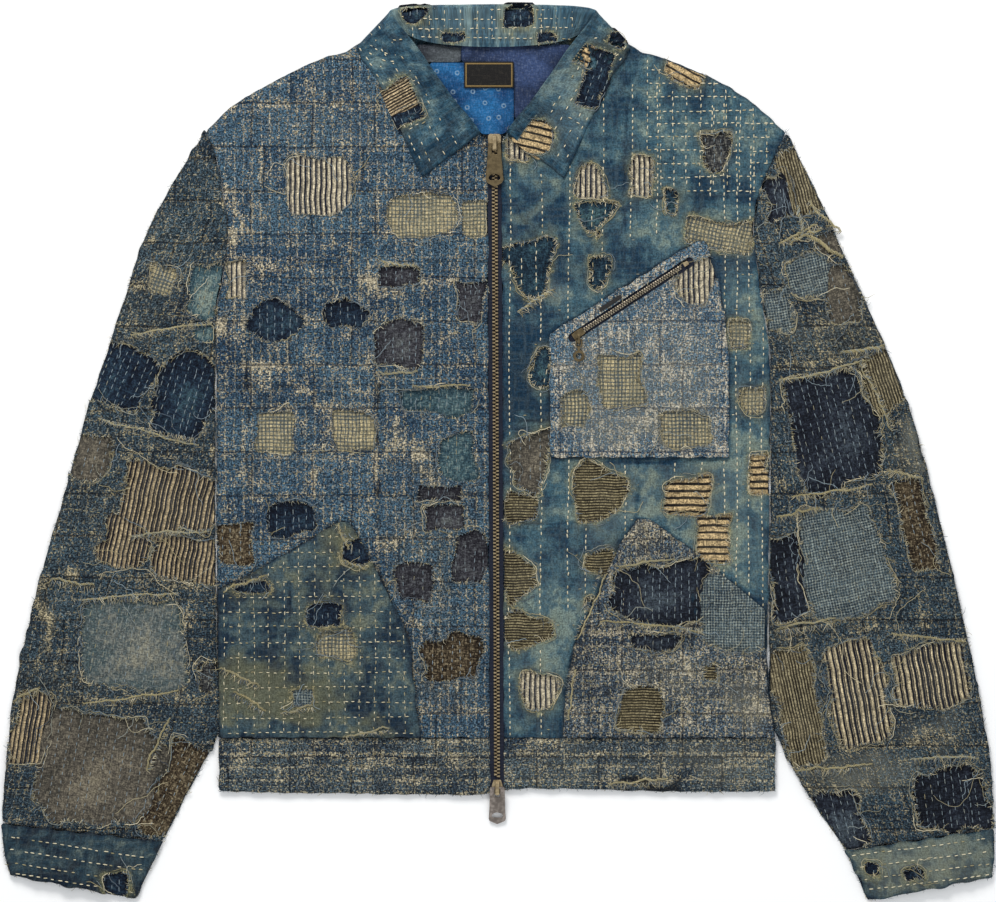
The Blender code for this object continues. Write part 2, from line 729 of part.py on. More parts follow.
def make_pull(name, hinge, height, rows, slot, hole, tilt, cloth):
    """Pull: a plate hung from its crossbar, whose middle is the object's origin."""
    half = BAR / 2.0
    body = prism(name, plate_outline(rows), -half, half, cloth)
    slot_half, slot_from, slot_to = slot
    window = [(-slot_half, -slot_from), (slot_half, -slot_from),
              (slot_half, -slot_to), (-slot_half, -slot_to)]
    tools = [prism(name + "_slot", window, -2.0, 2.0, cloth)]
    at, across, deep = hole
    arch = [(across * math.cos(math.radians(a)), -at + deep * math.sin(math.radians(a)))
            for a in range(0, 181, 20)]
    arch += [(-across * 0.7, -at - deep * 0.35), (across * 0.7, -at - deep * 0.35)]
    tools.append(prism(name + "_hole", arch, -2.0, 2.0, cloth))
    for obj in [body] + tools:
        obj.location = Vector((hinge[0], hinge[1], height)) * MM
        obj.rotation_euler = (tilt, 0.0, 0.0)
    for tool in tools:
        boolean(body, tool, "DIFFERENCE")
    return body


def make_main_sliders(low):
    plate_top = ((-9.0, 4.6), (-7.0, 6.1), (-2.0, 6.1), (4.0, 4.8), (5.6, 3.4))
    make_slider("zip_slider_top", TOP_HINGE, low, plate_top, (8.0, -7.2, 3.4, 11.6), "bronze")
    tab = ((-0.75, 5.4), (0.75, 5.9), (12.0, 6.6), (30.0, 8.2), (34.0, 8.6), (37.0, 7.0),
           (41.0, 0.0))
    make_pull("zip_pull_top", TOP_HINGE, AXIS_Z, tab, (2.6, 0.75, 10.0), (33.0, 5.6, 4.4),
              0.0, "bronze")
    plate_bottom = ((-7.2, 3.4), (-3.0, 4.8), (3.0, 6.0), (6.0, 6.0))
    make_slider("zip_slider_bottom", BOTTOM_HINGE, low, plate_bottom, (5.6, -7.0, 3.4, 11.6),
                "nickel")
    tab = ((-0.75, 6.6), (0.75, 7.0), (20.0, 7.4), (30.0, 8.0), (32.0, 7.2), (35.0, 0.0))
    make_pull("zip_pull_bottom", BOTTOM_HINGE, AXIS_Z, tab, (2.6, 0.75, 9.0),
              (27.5, 5.4, 3.6), BOTTOM_DROOP, "nickel")


def make_chest_pull(low):
    start, end, way = chest_line()
    turn = math.atan2(way.y, way.x)
    side = Vector((-way.y, way.x))
    body_from = start + way * 0.6
    body_to = start + way * 12.6
    outline = [body_from - side * 2.6, body_from + way * 5.0 - side * 3.6,
               body_to - side * 3.0, body_to + side * 3.0,
               body_from + way * 5.0 + side * 3.6, body_from + side * 2.6]
    body = prism("chest_zip_slider", outline, low, low + 1.7, "bronze")
    hinge = Vector(CHEST_HINGE)
    top = CHEST_AXIS_Z + 2.5
    profile = (
        (5.4, low + 1.2), (5.4, top - 1.0), (4.4, top), (-2.8, top), (-3.8, top - 1.0),
        (-3.8, CHEST_AXIS_Z - 0.6), (-2.5, CHEST_AXIS_Z - 0.6), (-2.5, top - 1.7),
        (-2.2, top - 1.3), (3.8, top - 1.3), (4.1, top - 1.7), (4.1, low + 1.2),
    )
    strap = bridge("chest_bail", profile, CHEST_BAIL_WIDTH, "bronze")
    strap.location = Vector((hinge.x, hinge.y, 0.0)) * MM
    boolean(body, strap, "UNION")

    rows = ((-0.7, 3.2), (0.7, 3.2), (5.4, 3.2), (6.8, 1.2), (9.0, 1.0))
    right = [(half_width, -at) for at, half_width in rows]
    left = [(-half_width, -at) for at, half_width in rows[::-1]]
    arc = []
    for step in range(19):
        angle = math.radians(100.0 + 340.0 * step / 18.0) * -1.0 + math.radians(180.0)
        arc.append((RING_RADIUS * math.cos(angle), -RING_CENTRE + RING_RADIUS * math.sin(angle)))
    pull = prism("chest_zip_pull", right + arc + left, -0.7, 0.7, "bronze")
    eye = [(RING_EYE * math.cos(math.radians(a)),
            -RING_CENTRE + RING_EYE * math.sin(math.radians(a))) for a in range(0, 360, 24)]
    hole = prism("chest_ring_hole", eye, -2.0, 2.0, "bronze")
    window = [(-1.9, -0.7), (1.9, -0.7), (1.9, -5.6), (-1.9, -5.6)]
    slot = prism("chest_pull_slot", window, -2.0, 2.0, "bronze")
    for obj in (pull, hole, slot):
        obj.location = Vector((hinge.x, hinge.y, CHEST_AXIS_Z)) * MM
        obj.rotation_euler = (CHEST_DROOP, 0.0, 0.0)
    boolean(pull, hole, "DIFFERENCE")
    boolean(pull, slot, "DIFFERENCE")


def make_tab():
    outline = ((94.5, 135.0), (96.5, 131.5), (117.0, 145.0), (114.8, 148.0))
    z = max(pocket_top(x, y) for x, y in outline) + SEAM
    prism("chest_tab", outline, z, z + 0.8, "label")


def sleeve_top_at(stations, bows, x, y):
    """Height of a sleeve's outer surface at a plan point, from its nearest sections."""
    best = None
    for first, second in zip(stations, stations[1:]):
        for step in range(41):
            t = step / 40.0
            mixed = [mix(first[i], second[i], t) for i in range(6)]
            start = Vector((mixed[0], mixed[1]))
            end = Vector((mixed[2], mixed[3]))
            span = end - start
            share = (Vector((x, y)) - start).dot(span) / span.length_squared
            place = start + span * share
            off = (place - Vector((x, y))).length
            if best is None or off < best[0]:
                best = (off, share, mixed[4])
    off, share, height = best
    heights = []
    for s in RING_SHARES:
        crown = math.sin(math.pi * s) ** 0.6 if 0.0 < s < 1.0 else 0.0
        heights.append((s, mix(2.0 * WALL + LAY, height, crown)))
    return along(heights, clamp(share))


def make_patches():
    for name, panel, x, y, width, height, turn, cloth in PATCHES:
        spin = Matrix.Rotation(math.radians(turn), 2)
        plan = []
        for v in (-0.5, -0.25, 0.0, 0.25, 0.5):
            row = []
            for u in (-0.5, -0.25, 0.0, 0.25, 0.5):
                inset = 1.0 - 0.12 * (abs(u) > 0.4 and abs(v) > 0.4)
                row.append(Vector((x, y)) + spin @ Vector((u * width * inset, v * height * inset)))
            plan.append([(p.x, p.y) for p in row])

        def under(px, py):
            if panel == "front":
                return front_top(px, py) + LAY
            stations = SLEEVE_RIGHT if panel == "sleeve_right" else SLEEVE_LEFT
            bows = [0.0] * len(RING_SHARES)
            return sleeve_top_at(stations, bows, px, py) + LAY

        slab(name, plan, under, THIN_WALL, cloth)


def main():
    for obj in list(bpy.data.objects):
        bpy.data.objects.remove(obj, do_unlink=True)
    straight = [0.0] * len(RING_SHARES)
    make_back()
    make_front("right")
    make_front("left")
    make_tube("sleeve_right", SLEEVE_RIGHT, armhole_bow("right"), WALL, "mottled")
    make_tube("sleeve_left", SLEEVE_LEFT, armhole_bow("left"), WALL, "mottled")
    make_tube("cuff_right", CUFF_RIGHT, straight, WALL, "indigo")
    make_tube("cuff_left", CUFF_LEFT, straight, WALL, "indigo")
    edge = TAPE_REACH + SEAM
    make_hem("hem_band_back", -262.6, 260.6, hem_back_under, "mottled")
    make_hem("hem_band_right", -262.6, zip_x(-320.0) - edge, hem_front_under, "mottled")
    make_hem("hem_band_left", zip_x(-320.0) + edge, 260.6, hem_front_under, "mottled")
    make_collar()
    make_pockets()
    make_tab()
    make_lining()
    low = make_zip()
    make_main_sliders(low)
    make_chest_pull(make_chest_zip())
    make_patches()


main()
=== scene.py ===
# %% [markdown]
# # A patched boro jacket
# A boro jacket is mended again and again until the mends are the cloth. This one lies flat
# on its back, zipped up. Its right front is a tangle of grey-blue threads, its left front is
# washed indigo, and torn windows in both show older cloths behind: ticking, checks, navy.
# We work in millimetres, seen from above: +X runs to the wearer's left, +Y to the collar and
# +Z up. The CAD frame comes in first, because every piece has to lie where the CAD says.

# %% The frame and its box
import math
import bpy
import numpy as np
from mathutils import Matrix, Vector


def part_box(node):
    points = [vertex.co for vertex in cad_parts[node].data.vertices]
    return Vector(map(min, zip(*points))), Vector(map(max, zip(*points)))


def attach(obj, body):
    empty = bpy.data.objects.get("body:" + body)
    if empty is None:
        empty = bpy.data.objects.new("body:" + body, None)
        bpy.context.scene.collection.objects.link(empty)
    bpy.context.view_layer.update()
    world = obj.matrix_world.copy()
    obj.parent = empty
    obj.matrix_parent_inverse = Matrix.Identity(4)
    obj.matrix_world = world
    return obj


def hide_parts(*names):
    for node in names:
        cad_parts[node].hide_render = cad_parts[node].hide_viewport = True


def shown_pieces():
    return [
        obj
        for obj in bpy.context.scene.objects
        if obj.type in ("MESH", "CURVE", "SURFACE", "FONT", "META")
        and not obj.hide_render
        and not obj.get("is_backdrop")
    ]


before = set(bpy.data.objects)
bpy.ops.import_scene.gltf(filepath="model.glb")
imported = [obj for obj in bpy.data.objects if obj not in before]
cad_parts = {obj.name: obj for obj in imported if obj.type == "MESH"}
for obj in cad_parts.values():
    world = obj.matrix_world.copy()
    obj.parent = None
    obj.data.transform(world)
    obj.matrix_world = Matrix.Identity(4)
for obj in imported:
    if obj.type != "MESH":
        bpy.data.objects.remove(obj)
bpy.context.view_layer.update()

MM = 0.001

# %% [markdown]
# ## Light and camera
# Clothes are shown lying down, seen from straight above in soft light. A long lens far
# away keeps the jacket's edges square. One large lamp near the collar is a little stronger
# than the white room round it, so that each thread throws a short soft shadow downwards.

# %% The studio
VIEW_WIDTH = 936.2          # how much of the floor the camera sees, side to side
CAMERA_HEIGHT = 6000.0
SENSOR = 36.0
scene = bpy.context.scene
scene.view_settings.view_transform = "Standard"
scene.view_settings.look = "None"

camera_data = bpy.data.cameras.new("camera")
camera_data.sensor_width = SENSOR
camera_data.lens = SENSOR * (CAMERA_HEIGHT - 8.0) / VIEW_WIDTH
camera_data.clip_end = 50.0
camera = bpy.data.objects.new("camera", camera_data)
camera.location = (0.0, 0.9 * MM, CAMERA_HEIGHT * MM)
scene.collection.objects.link(camera)
scene.camera = camera


def lamp(name, place, size, power, tint=(1.0, 1.0, 1.0)):
    """Square soft lamp that shines at the jacket."""
    data = bpy.data.lights.new(name, "AREA")
    data.size = size
    data.energy = power
    data.color = tint
    obj = bpy.data.objects.new(name, data)
    obj.location = place
    way = -obj.location
    obj.rotation_euler = way.to_track_quat("-Z", "Y").to_euler()
    scene.collection.objects.link(obj)
    return obj


lamp("softbox_collar", (-0.55, 1.9, 1.45), 0.9, 50.0, (1.0, 0.985, 0.96))
lamp("softbox_hem", (0.7, -1.8, 1.9), 2.0, 15.0, (0.95, 0.98, 1.0))
world = bpy.data.worlds.new("white_room")
world.use_nodes = True
world.node_tree.nodes["Background"].inputs["Color"].default_value = (0.95, 0.975, 1.0, 1.0)
world.node_tree.nodes["Background"].inputs["Strength"].default_value = 0.6
scene.world = world
print("lens", round(camera_data.lens, 1), "mm")

# %% [markdown]
# ## The garment's lines
# A pattern cutter draws lines first, and so do we. These are the same lines that the CAD
# solids follow: the side seams, the shoulders, the neck, the sleeves. The solids join their
# points with straight edges. Cloth doesn't, so `follow` runs a smooth curve through them.

# %% Lines of the body
def read_table(text):
    """Rows of a table written as text: a word before a colon starts all rows up to the next one."""
    rows, first = [], []
    for part in text.replace("\n", ";").split(";"):
        if ":" in part:
            first, part = [part.split(":")[0].strip()], part.split(":")[1]
        cells = part.split()
        if cells:
            rows.append((*first, *(None if c == "-" else float(c) if c[-1].isdigit() else c for c in cells)))
    return rows


WALL, LAY, LOFT = 2.2, 0.5, 1.3         # cloth's thickness, gap between layers, rise of a front
HEM_SEAM_Y = -269.0
COLLAR_MID_X = -4.5
ZIP_EDGE = 6.65             # from the zip's middle to the front's edge
# y, wearer's right, wearer's left
SIDE_LINES = read_table("""
301 -275 270; 286 -268 264; 266 -262 254.5; 243 -258 245; 215 -254 240; 190 -255 242
166 -258 244.5; 143 -263 248; 105 -265 253.5; 60 -265 256; 0 -265 255.5; -60 -265 255
-130 -264.5 254; -200 -264 253.5; -269 -263 261""")
# upper edge of the back: x, y
SHOULDERS = read_table("""
-275 301; -252 324.5; -228 339; -205 351.5; -181 363.5; -160 372; -144 375.5; -124 388; -99 405
-82 395; -48 386; -4 384; 40 386; 73 395; 90 405; 115 388; 135 375.5; 151 372; 171 364.5; 195 355
218 343; 242 326.5; 270 301""")
# x from the collar's middle, y
NECKLINE = read_table("""
88 401; 80.5 390; 63.5 366; 45.5 341; 25.5 316; 8.5 292""")
# lower edge of the hem band: x, y
HEM_EDGE = read_table("""
-264 -319; -200 -320.5; -139 -321; -70 -322; -8 -321; 7 -318; 58 -317; 143 -319; 200 -319.5
262 -319""")


print(len(SIDE_LINES), "heights along the sides, down to the hem seam at", HEM_SEAM_Y)


# %% Curves and heights
def clamp(value, low=0.0, high=1.0):
    return np.clip(value, low, high)


def curve(x, y, at):
    """Smooth curve through values y at places x, read at other places. Each y may be a list."""
    slope = np.gradient(y, x, axis=0)
    i = np.clip(np.searchsorted(x, at) - 1, 0, len(x) - 2)
    wide = x[i + 1] - x[i]
    t = clamp((at - x[i]) / wide)
    if y.ndim > 1:
        wide, t = wide[:, None], t[:, None]
    return ((2 * t**3 - 3 * t**2 + 1) * y[i] + (t**3 - 2 * t**2 + t) * wide * slope[i]
            + (3 * t**2 - 2 * t**3) * y[i + 1] + (t**3 - t**2) * wide * slope[i + 1])


def follow(table, at, column=1):
    """Smooth curve through a column of a table, read at places in its first column."""
    rows = np.array(table, float)
    rows = rows[rows[:, 0].argsort()]
    return curve(rows[:, 0], rows[:, column], np.asarray(at, float))


def hill(off, width):
    """1 in the middle, falling off softly over a width."""
    return np.exp(-(off / width) ** 2)


def zip_x(y):
    """Middle of the zip, which leans a little."""
    return -3.2 + 2.3 * clamp((287.0 - y) / 594.0)


def back_top(x, y):
    """Inside of the back. It rises over the part of the collar tucked behind the neck."""
    up = clamp((y - 300.0) / 52.0)
    side = clamp((190.0 - np.abs(x - COLLAR_MID_X)) / 40.0)
    return WALL + (WALL + LAY) * up * side


def front_top(x, y):
    """Outside of a front, which lies on the back with a slight rise between its edges."""
    across = clamp((np.abs(x) - 12.0) / 235.0)
    up = clamp((y - HEM_SEAM_Y) / (280.0 - HEM_SEAM_Y))
    return back_top(x, y) + LAY + WALL + LOFT * np.sin(np.pi * across) * np.sin(np.pi * up)


def pocket_top(x, y):
    return front_top(x, y) + LAY + WALL


print("front's height over the chest:", round(float(front_top(-130.0, 100.0)), 2), "mm")

# %% [markdown]
# ## Where the mends are
# Each row is one torn window: which panel it is in, the old cloth behind it, where it lies,
# how wide and long it is, its turn in degrees, how square it is from 0 to 1, how ragged its
# edge is in millimetres, and the CAD patch it stands for, if there is one. The panels are
# FR and FL for the fronts, PR, PL and CP for the pockets, SR and SL for the sleeves, KR and
# KL for the cuffs, and CO and CS for the collar's leaves and its back band.

# %% The windows
# panel: cloth, x, y, width, length, turn, squareness, raggedness, CAD patch
WINDOWS = read_table("""
FR: ticking -169 251 62 52 0 .55 1.2 patch_ticking_chest
gingham -70 223 69 40 0 .25 1 patch_check_chest; gingham -22 220 24 36 0 .5 1 -
charcoal -94 165 39 19 0 .95 .6 -; charcoal -26 142 30 35 0 .7 1.2 -
ticking -246 162 19 37 0 .85 .8 -; navy -209 122 48 39 0 .25 2 patch_navy_chest
navy -143 129 44 28 0 .3 2 -; charcoal -93 102 43 40 0 .8 1.8 patch_charcoal_chest
gingham -210 19 36 40 0 .7 1.2 -; gingham -137 20 39 39 0 .7 1.2 -; teal -58 48 67 24 0 .9 1 -
teal -38 -4 38 40 0 .7 1.6 -; grey -56 -39 42 15 0 .8 1 -; grey -50 -62 39 22 0 .8 1 -
grey -26 -98 33 44 0 .7 1.5 -; grey -80 -122 39 36 0 .6 1.5 -; navy -194 -64 45 27 0 .6 1.5 -
brown -246 -86 32 37 0 .8 1.5 -; brown -43 -194 57 43 0 .7 1.8 patch_brown_front
PR: navy -132 -93 29 20 0 .7 1.2 -; navy -165 -154 34 20 0 .6 1.2 -
navy -231 -126 34 13 -6 .5 1.6 -; gingham -152 -180 34 28 0 .7 1.2 -
finecheck -185 -231 20 15 0 .7 .8 -
FL: ticking 86 255 25 35 0 .35 1.2 -; navy 89 223 29 28 0 .5 1.5 -
ticking 135 259 23 38 0 .6 1.2 -; ticking 18 284 23 22 0 .4 1.2 -
tickingh 175 358 39 22 -28 .8 .8 -; navy 163 235 15 27 0 0 1.2 -
charcoal 205 282 22 38 0 .5 1.5 -; navy 28 173 39 52 0 .3 3 patch_torn_indigo
navy 95 168 17 31 0 0 1.5 -; navy 95 204 8 7 0 0 1 -; gingham 208 204 64 27 -12 .8 1 -
navy 41 80 17 37 -12 .3 1.2 -; grey 29 -9 38 57 0 .75 1.5 patch_khaki_front
pinstripe 23 -53 27 29 0 .7 1.2 -; pinstripe 96 -39 50 45 0 .7 1.2 -
tickingh 178 -42 42 36 0 .7 1.2 patch_cream_stripe; tickingh 203 -81 29 46 0 .7 1.2 -
tickingh 245 -19 18 39 0 .8 1 -; gingham 226 110 21 29 0 .6 1 -; gingham 241 49 24 23 0 .6 1 -
pinstripe 96 -104 29 24 0 .7 1 -; pinstripe 21 -118 28 39 0 .6 1.4 -
pinstripe 29 -167 43 31 0 .6 1.4 -; ticking 39 -226 35 37 0 .6 1.2 -; navy 86 -142 8 11 0 .2 .8 -
PL: navy 150 -133 84 60 0 .5 2.4 -; navy 146 -179 46 18 0 .6 1.4 -
finecheck 223 -148 62 81 0 .6 1.4 -; pinstripe 201 -208 14 17 0 .6 1 -
pinstripe 136 -242 40 43 0 .7 1.4 -
CP: ticking 186 158 33 44 0 .45 1.4 -; gingham 115 67 41 53 0 .7 1.2 -
gingham 72 39 26 34 0 .7 1.2 -; gingham 178 21 50 31 0 .7 1.2 -
CO: ticking -95 330 36 31 28 .85 .8 -; navy -85 316 30 14 22 .8 .8 -
tickingh 30 298 43 29 -14 .5 1.2 -; tickingh 78 374 27 22 -20 .7 1 -; navy 91 352 23 55 -18 .8 1 -
navy 111 387 15 11 -30 .6 .8 -
CS: navy 19 409 27 24 0 .3 2 -; navy -79 412 26 14 0 .3 2 -; navy 46 389 20 8 0 .4 1.2 -
navy -43 389 23 9 0 .4 1.4 -
SR: gingham -316 162 28 27 -20 .7 1 -; seagreen -276 151 34 51 -12 .7 1.6 -
seagreen -277 113 24 20 -12 .7 1.2 -; navy -354 69 55 62 -22 .8 1.5 patch_navy_sleeve_right
navy -295 52 52 77 -16 .7 2.2 -; grey -381 -4 34 44 -16 .6 1.6 -
ticking -307 -46 92 62 -12 .6 2.4 patch_ticking_sleeve_right; ticking -353 -86 42 42 -12 .6 2 -
ticking -290 -101 64 38 -10 .7 2 -; teal -340 -180 98 86 -9 .6 2 patch_teal_sleeve_right
ticking -438 -260 34 70 -9 .9 1.2 -; grey -379 -298 118 119 -9 .45 3 patch_grey_sleeve_right
brown -300 -318 42 92 -24 .8 1.6 -; charcoal -274 -211 15 32 -6 .6 1.6 -
KR: navy -360 -407 23 22 0 .5 1.2 -
SL: navy 263 241 24 44 8 .6 1.6 -; pinstripe 288 257 40 62 14 .7 1.6 -
grey 312 196 26 23 16 .7 1.4 -; grey 322 149 28 55 16 .7 1.6 -
finecheck 291 165 38 44 14 .7 1.4 -; finecheck 264 134 25 43 10 .7 1.4 -
navy 313 19 81 113 14 .75 1.8 patch_navy_sleeve_left; pinstripe 362 65 38 55 18 .8 1.2 -
navy 273 -118 34 83 8 .7 1.6 -; finecheck 326 -101 85 111 12 .8 1.6 patch_check_sleeve_left
brown 393 -69 29 88 14 .8 1.6 patch_brown_sleeve_left
pinstripe 283 -238 39 111 12 .8 1.6 patch_khaki_sleeve_left; ticking 339 -225 50 96 10 .8 2.4 -
ticking 409 -210 76 57 10 .8 2 -; navy 426 -328 67 60 8 .7 2 -; navy 319 -346 47 56 14 .6 1.8 -
KL: navy 352 -392 14 13 0 .6 1 -; navy 392 -397 19 11 0 .5 1 -""")


def windows_of(panel):
    return [row for row in WINDOWS if row[0] == panel]


print(len(WINDOWS), "windows,", len(windows_of("FR")), "of them in the right front")

# %% [markdown]
# ## Cloth that puckers
# Hand stitching draws cloth into small hills. A sum of a few random waves gives hills of one
# size that never repeat. Seams are drawn as a valley with a raised lip beside it, and
# long soft folds as ridges that fade out at both ends.

# %% Puckers
def puckers(x, y, size, seed, waves=9):
    """Random relief from about -1 to 1, with hills about size millimetres across."""
    dice = np.random.default_rng(seed)
    total = np.zeros(np.shape(x))
    for _ in range(waves):
        way = dice.uniform(0.0, 2.0 * math.pi)
        pace = 2.0 * math.pi / (size * dice.uniform(1.3, 3.0))
        total += np.sin((x * math.cos(way) + y * math.sin(way)) * pace + dice.uniform(0, 6.3))
    return total / math.sqrt(waves * 1.2)


probe = np.linspace(-200.0, 200.0, 401)
print("tallest pucker of 1:", round(float(np.abs(puckers(probe, probe, 8.0, 1)).max()), 2))

# %% Seams and folds
# panel: from x, y, to x, y
SEAMS = read_table("""
FR: -219 284 -219 165; -235 160 -236 -100; -113 160 -113 -60; -262 178 -15 179; -262 62 -15 62
-113 62 -110 -262; -15 -40 -113 -38; -150 330 -150 180
FL: 12 237 75 237; 62 330 62 236; 120 345 118 180; 75 240 245 238; 12 -68 90 -66; 216 330 214 196
12 28 50 30; 95 -10 250 -8; 215 120 250 121; 132 -8 130 -60
PR: -262 -150 -90 -150; -195 -80 -195 -150
PL: 70 -166 252 -168; 183 -110 184 -268
SR: -372 90 -268 118; -392 34 -268 6; -352 160 -262 190; -412 -20 -268 -14; -436 -120 -268 -116
-452 -222 -268 -200
SL: 262 84 384 96; 262 -40 402 -6; 262 -166 436 -158; 262 -290 455 -262; 262 210 322 214
CP: 54 -1 212 -1; 56 -4 56 106; 210 -4 210 150; 82 98 190 170; 62 112 190 194""")
# panel: from x, y, to x, y, half width, height
FOLDS = read_table("""
FR: -230 300 -120 250 9 .8; -260 40 -150 70 8 .7; -205 -30 -120 -75 7 1; -110 -60 -86 -190 6 1.2
FL: 20 255 70 150 8 .8; 60 60 45 -60 9 .9; 14 230 44 120 6 .7; 100 -55 60 -190 7 1.1
225 330 255 200 8 .9; 240 60 250 -90 7 .8
SR: -292 258 -330 60 12 1.4; -275 120 -300 -10 9 1.6; -392 20 -300 -20 8 1.3
-330 -20 -275 -130 8 1.4; -420 -110 -280 -128 9 1.3; -452 -214 -300 -190 8 1.3
-300 -180 -270 -270 8 1.5; -458 -250 -452 -340 10 1.4
SL: 285 250 332 60 12 1.4; 270 110 300 10 9 1.5; 365 90 398 -10 8 1.6; 262 -30 390 -10 9 1.6
330 -160 420 -140 9 1.4; 262 -150 300 -180 8 1.5; 452 -240 440 -330 10 1.5
280 -200 300 -320 9 1.4; 330 -262 452 -268 8 1.5""")


print(len(SEAMS), "seams and", len(FOLDS), "folds")


# %% Relief of seams and folds
def nearest_on(x, y, row):
    """Distance to the side of a straight line, past its ends, and the share of the way along it."""
    ax, ay, bx, by = row
    dx, dy = bx - ax, by - ay
    long = math.hypot(dx, dy)
    share = ((x - ax) * dx + (y - ay) * dy) / (long * long)
    side = ((x - ax) * dy - (y - ay) * dx) / long
    past = np.maximum(np.maximum(-share, share - 1.0), 0.0) * long
    return side, past, share


def seam_relief(panel, x, y):
    """Height, painted shade in seam grooves and fold valleys, and the cream of worn seams, that the seams and
    folds of a panel give to each place.
    """
    height = np.zeros(np.shape(x))
    shade, cream = height.copy(), height.copy()
    wander = 1.2 * puckers(x, y, 30.0, 77)
    broken = clamp(0.55 + 0.6 * puckers(x, y, 15.0, 78))
    for row in SEAMS:
        if row[0] == panel:
            side, past, _ = nearest_on(x, y, row[1:])
            fade = hill(past, 5.0)
            side = side + wander
            height += fade * (0.55 * hill(side - 3.0, 2.4)
                              - 0.75 * hill(side, 1.2))
            # painted shade along the bottom of the seam's groove, broken up by noise
            shade -= fade * broken * 0.75 * hill(side, 1.5)
            cream += fade * (1.1 - broken) * 0.8 * hill(side - 3.4, 2.6)
    for row in FOLDS:
        if row[0] == panel:
            side, _, share = nearest_on(x, y, row[1:5])
            fade = np.sin(np.pi * clamp(share)) ** 0.7
            side = side + 2.5 * wander
            height += row[6] * fade * np.exp(-(side / row[5]) ** 2)
            valley = fade * np.exp(-((side - 1.5 * row[5]) / (0.6 * row[5])) ** 2)
            height -= 0.5 * row[6] * valley
            # painted shade in the valley beside the fold
            shade -= 0.3 * valley
    return height, shade, cream


print("middle of the first fold is", round(float(seam_relief("FR", -175.0, 275.0)[0]), 2), "mm high")

# %% [markdown]
# ## Where wear has changed the colour
# Indigo rubs off where a body moves, and hand stitching leaves pale tufts. Each row says where
# a panel is worn, how far it reaches, and how much cream, shade and brown it has there: cream
# adds pale tufts, shade makes the ground lighter or darker, and brown turns blue to olive.

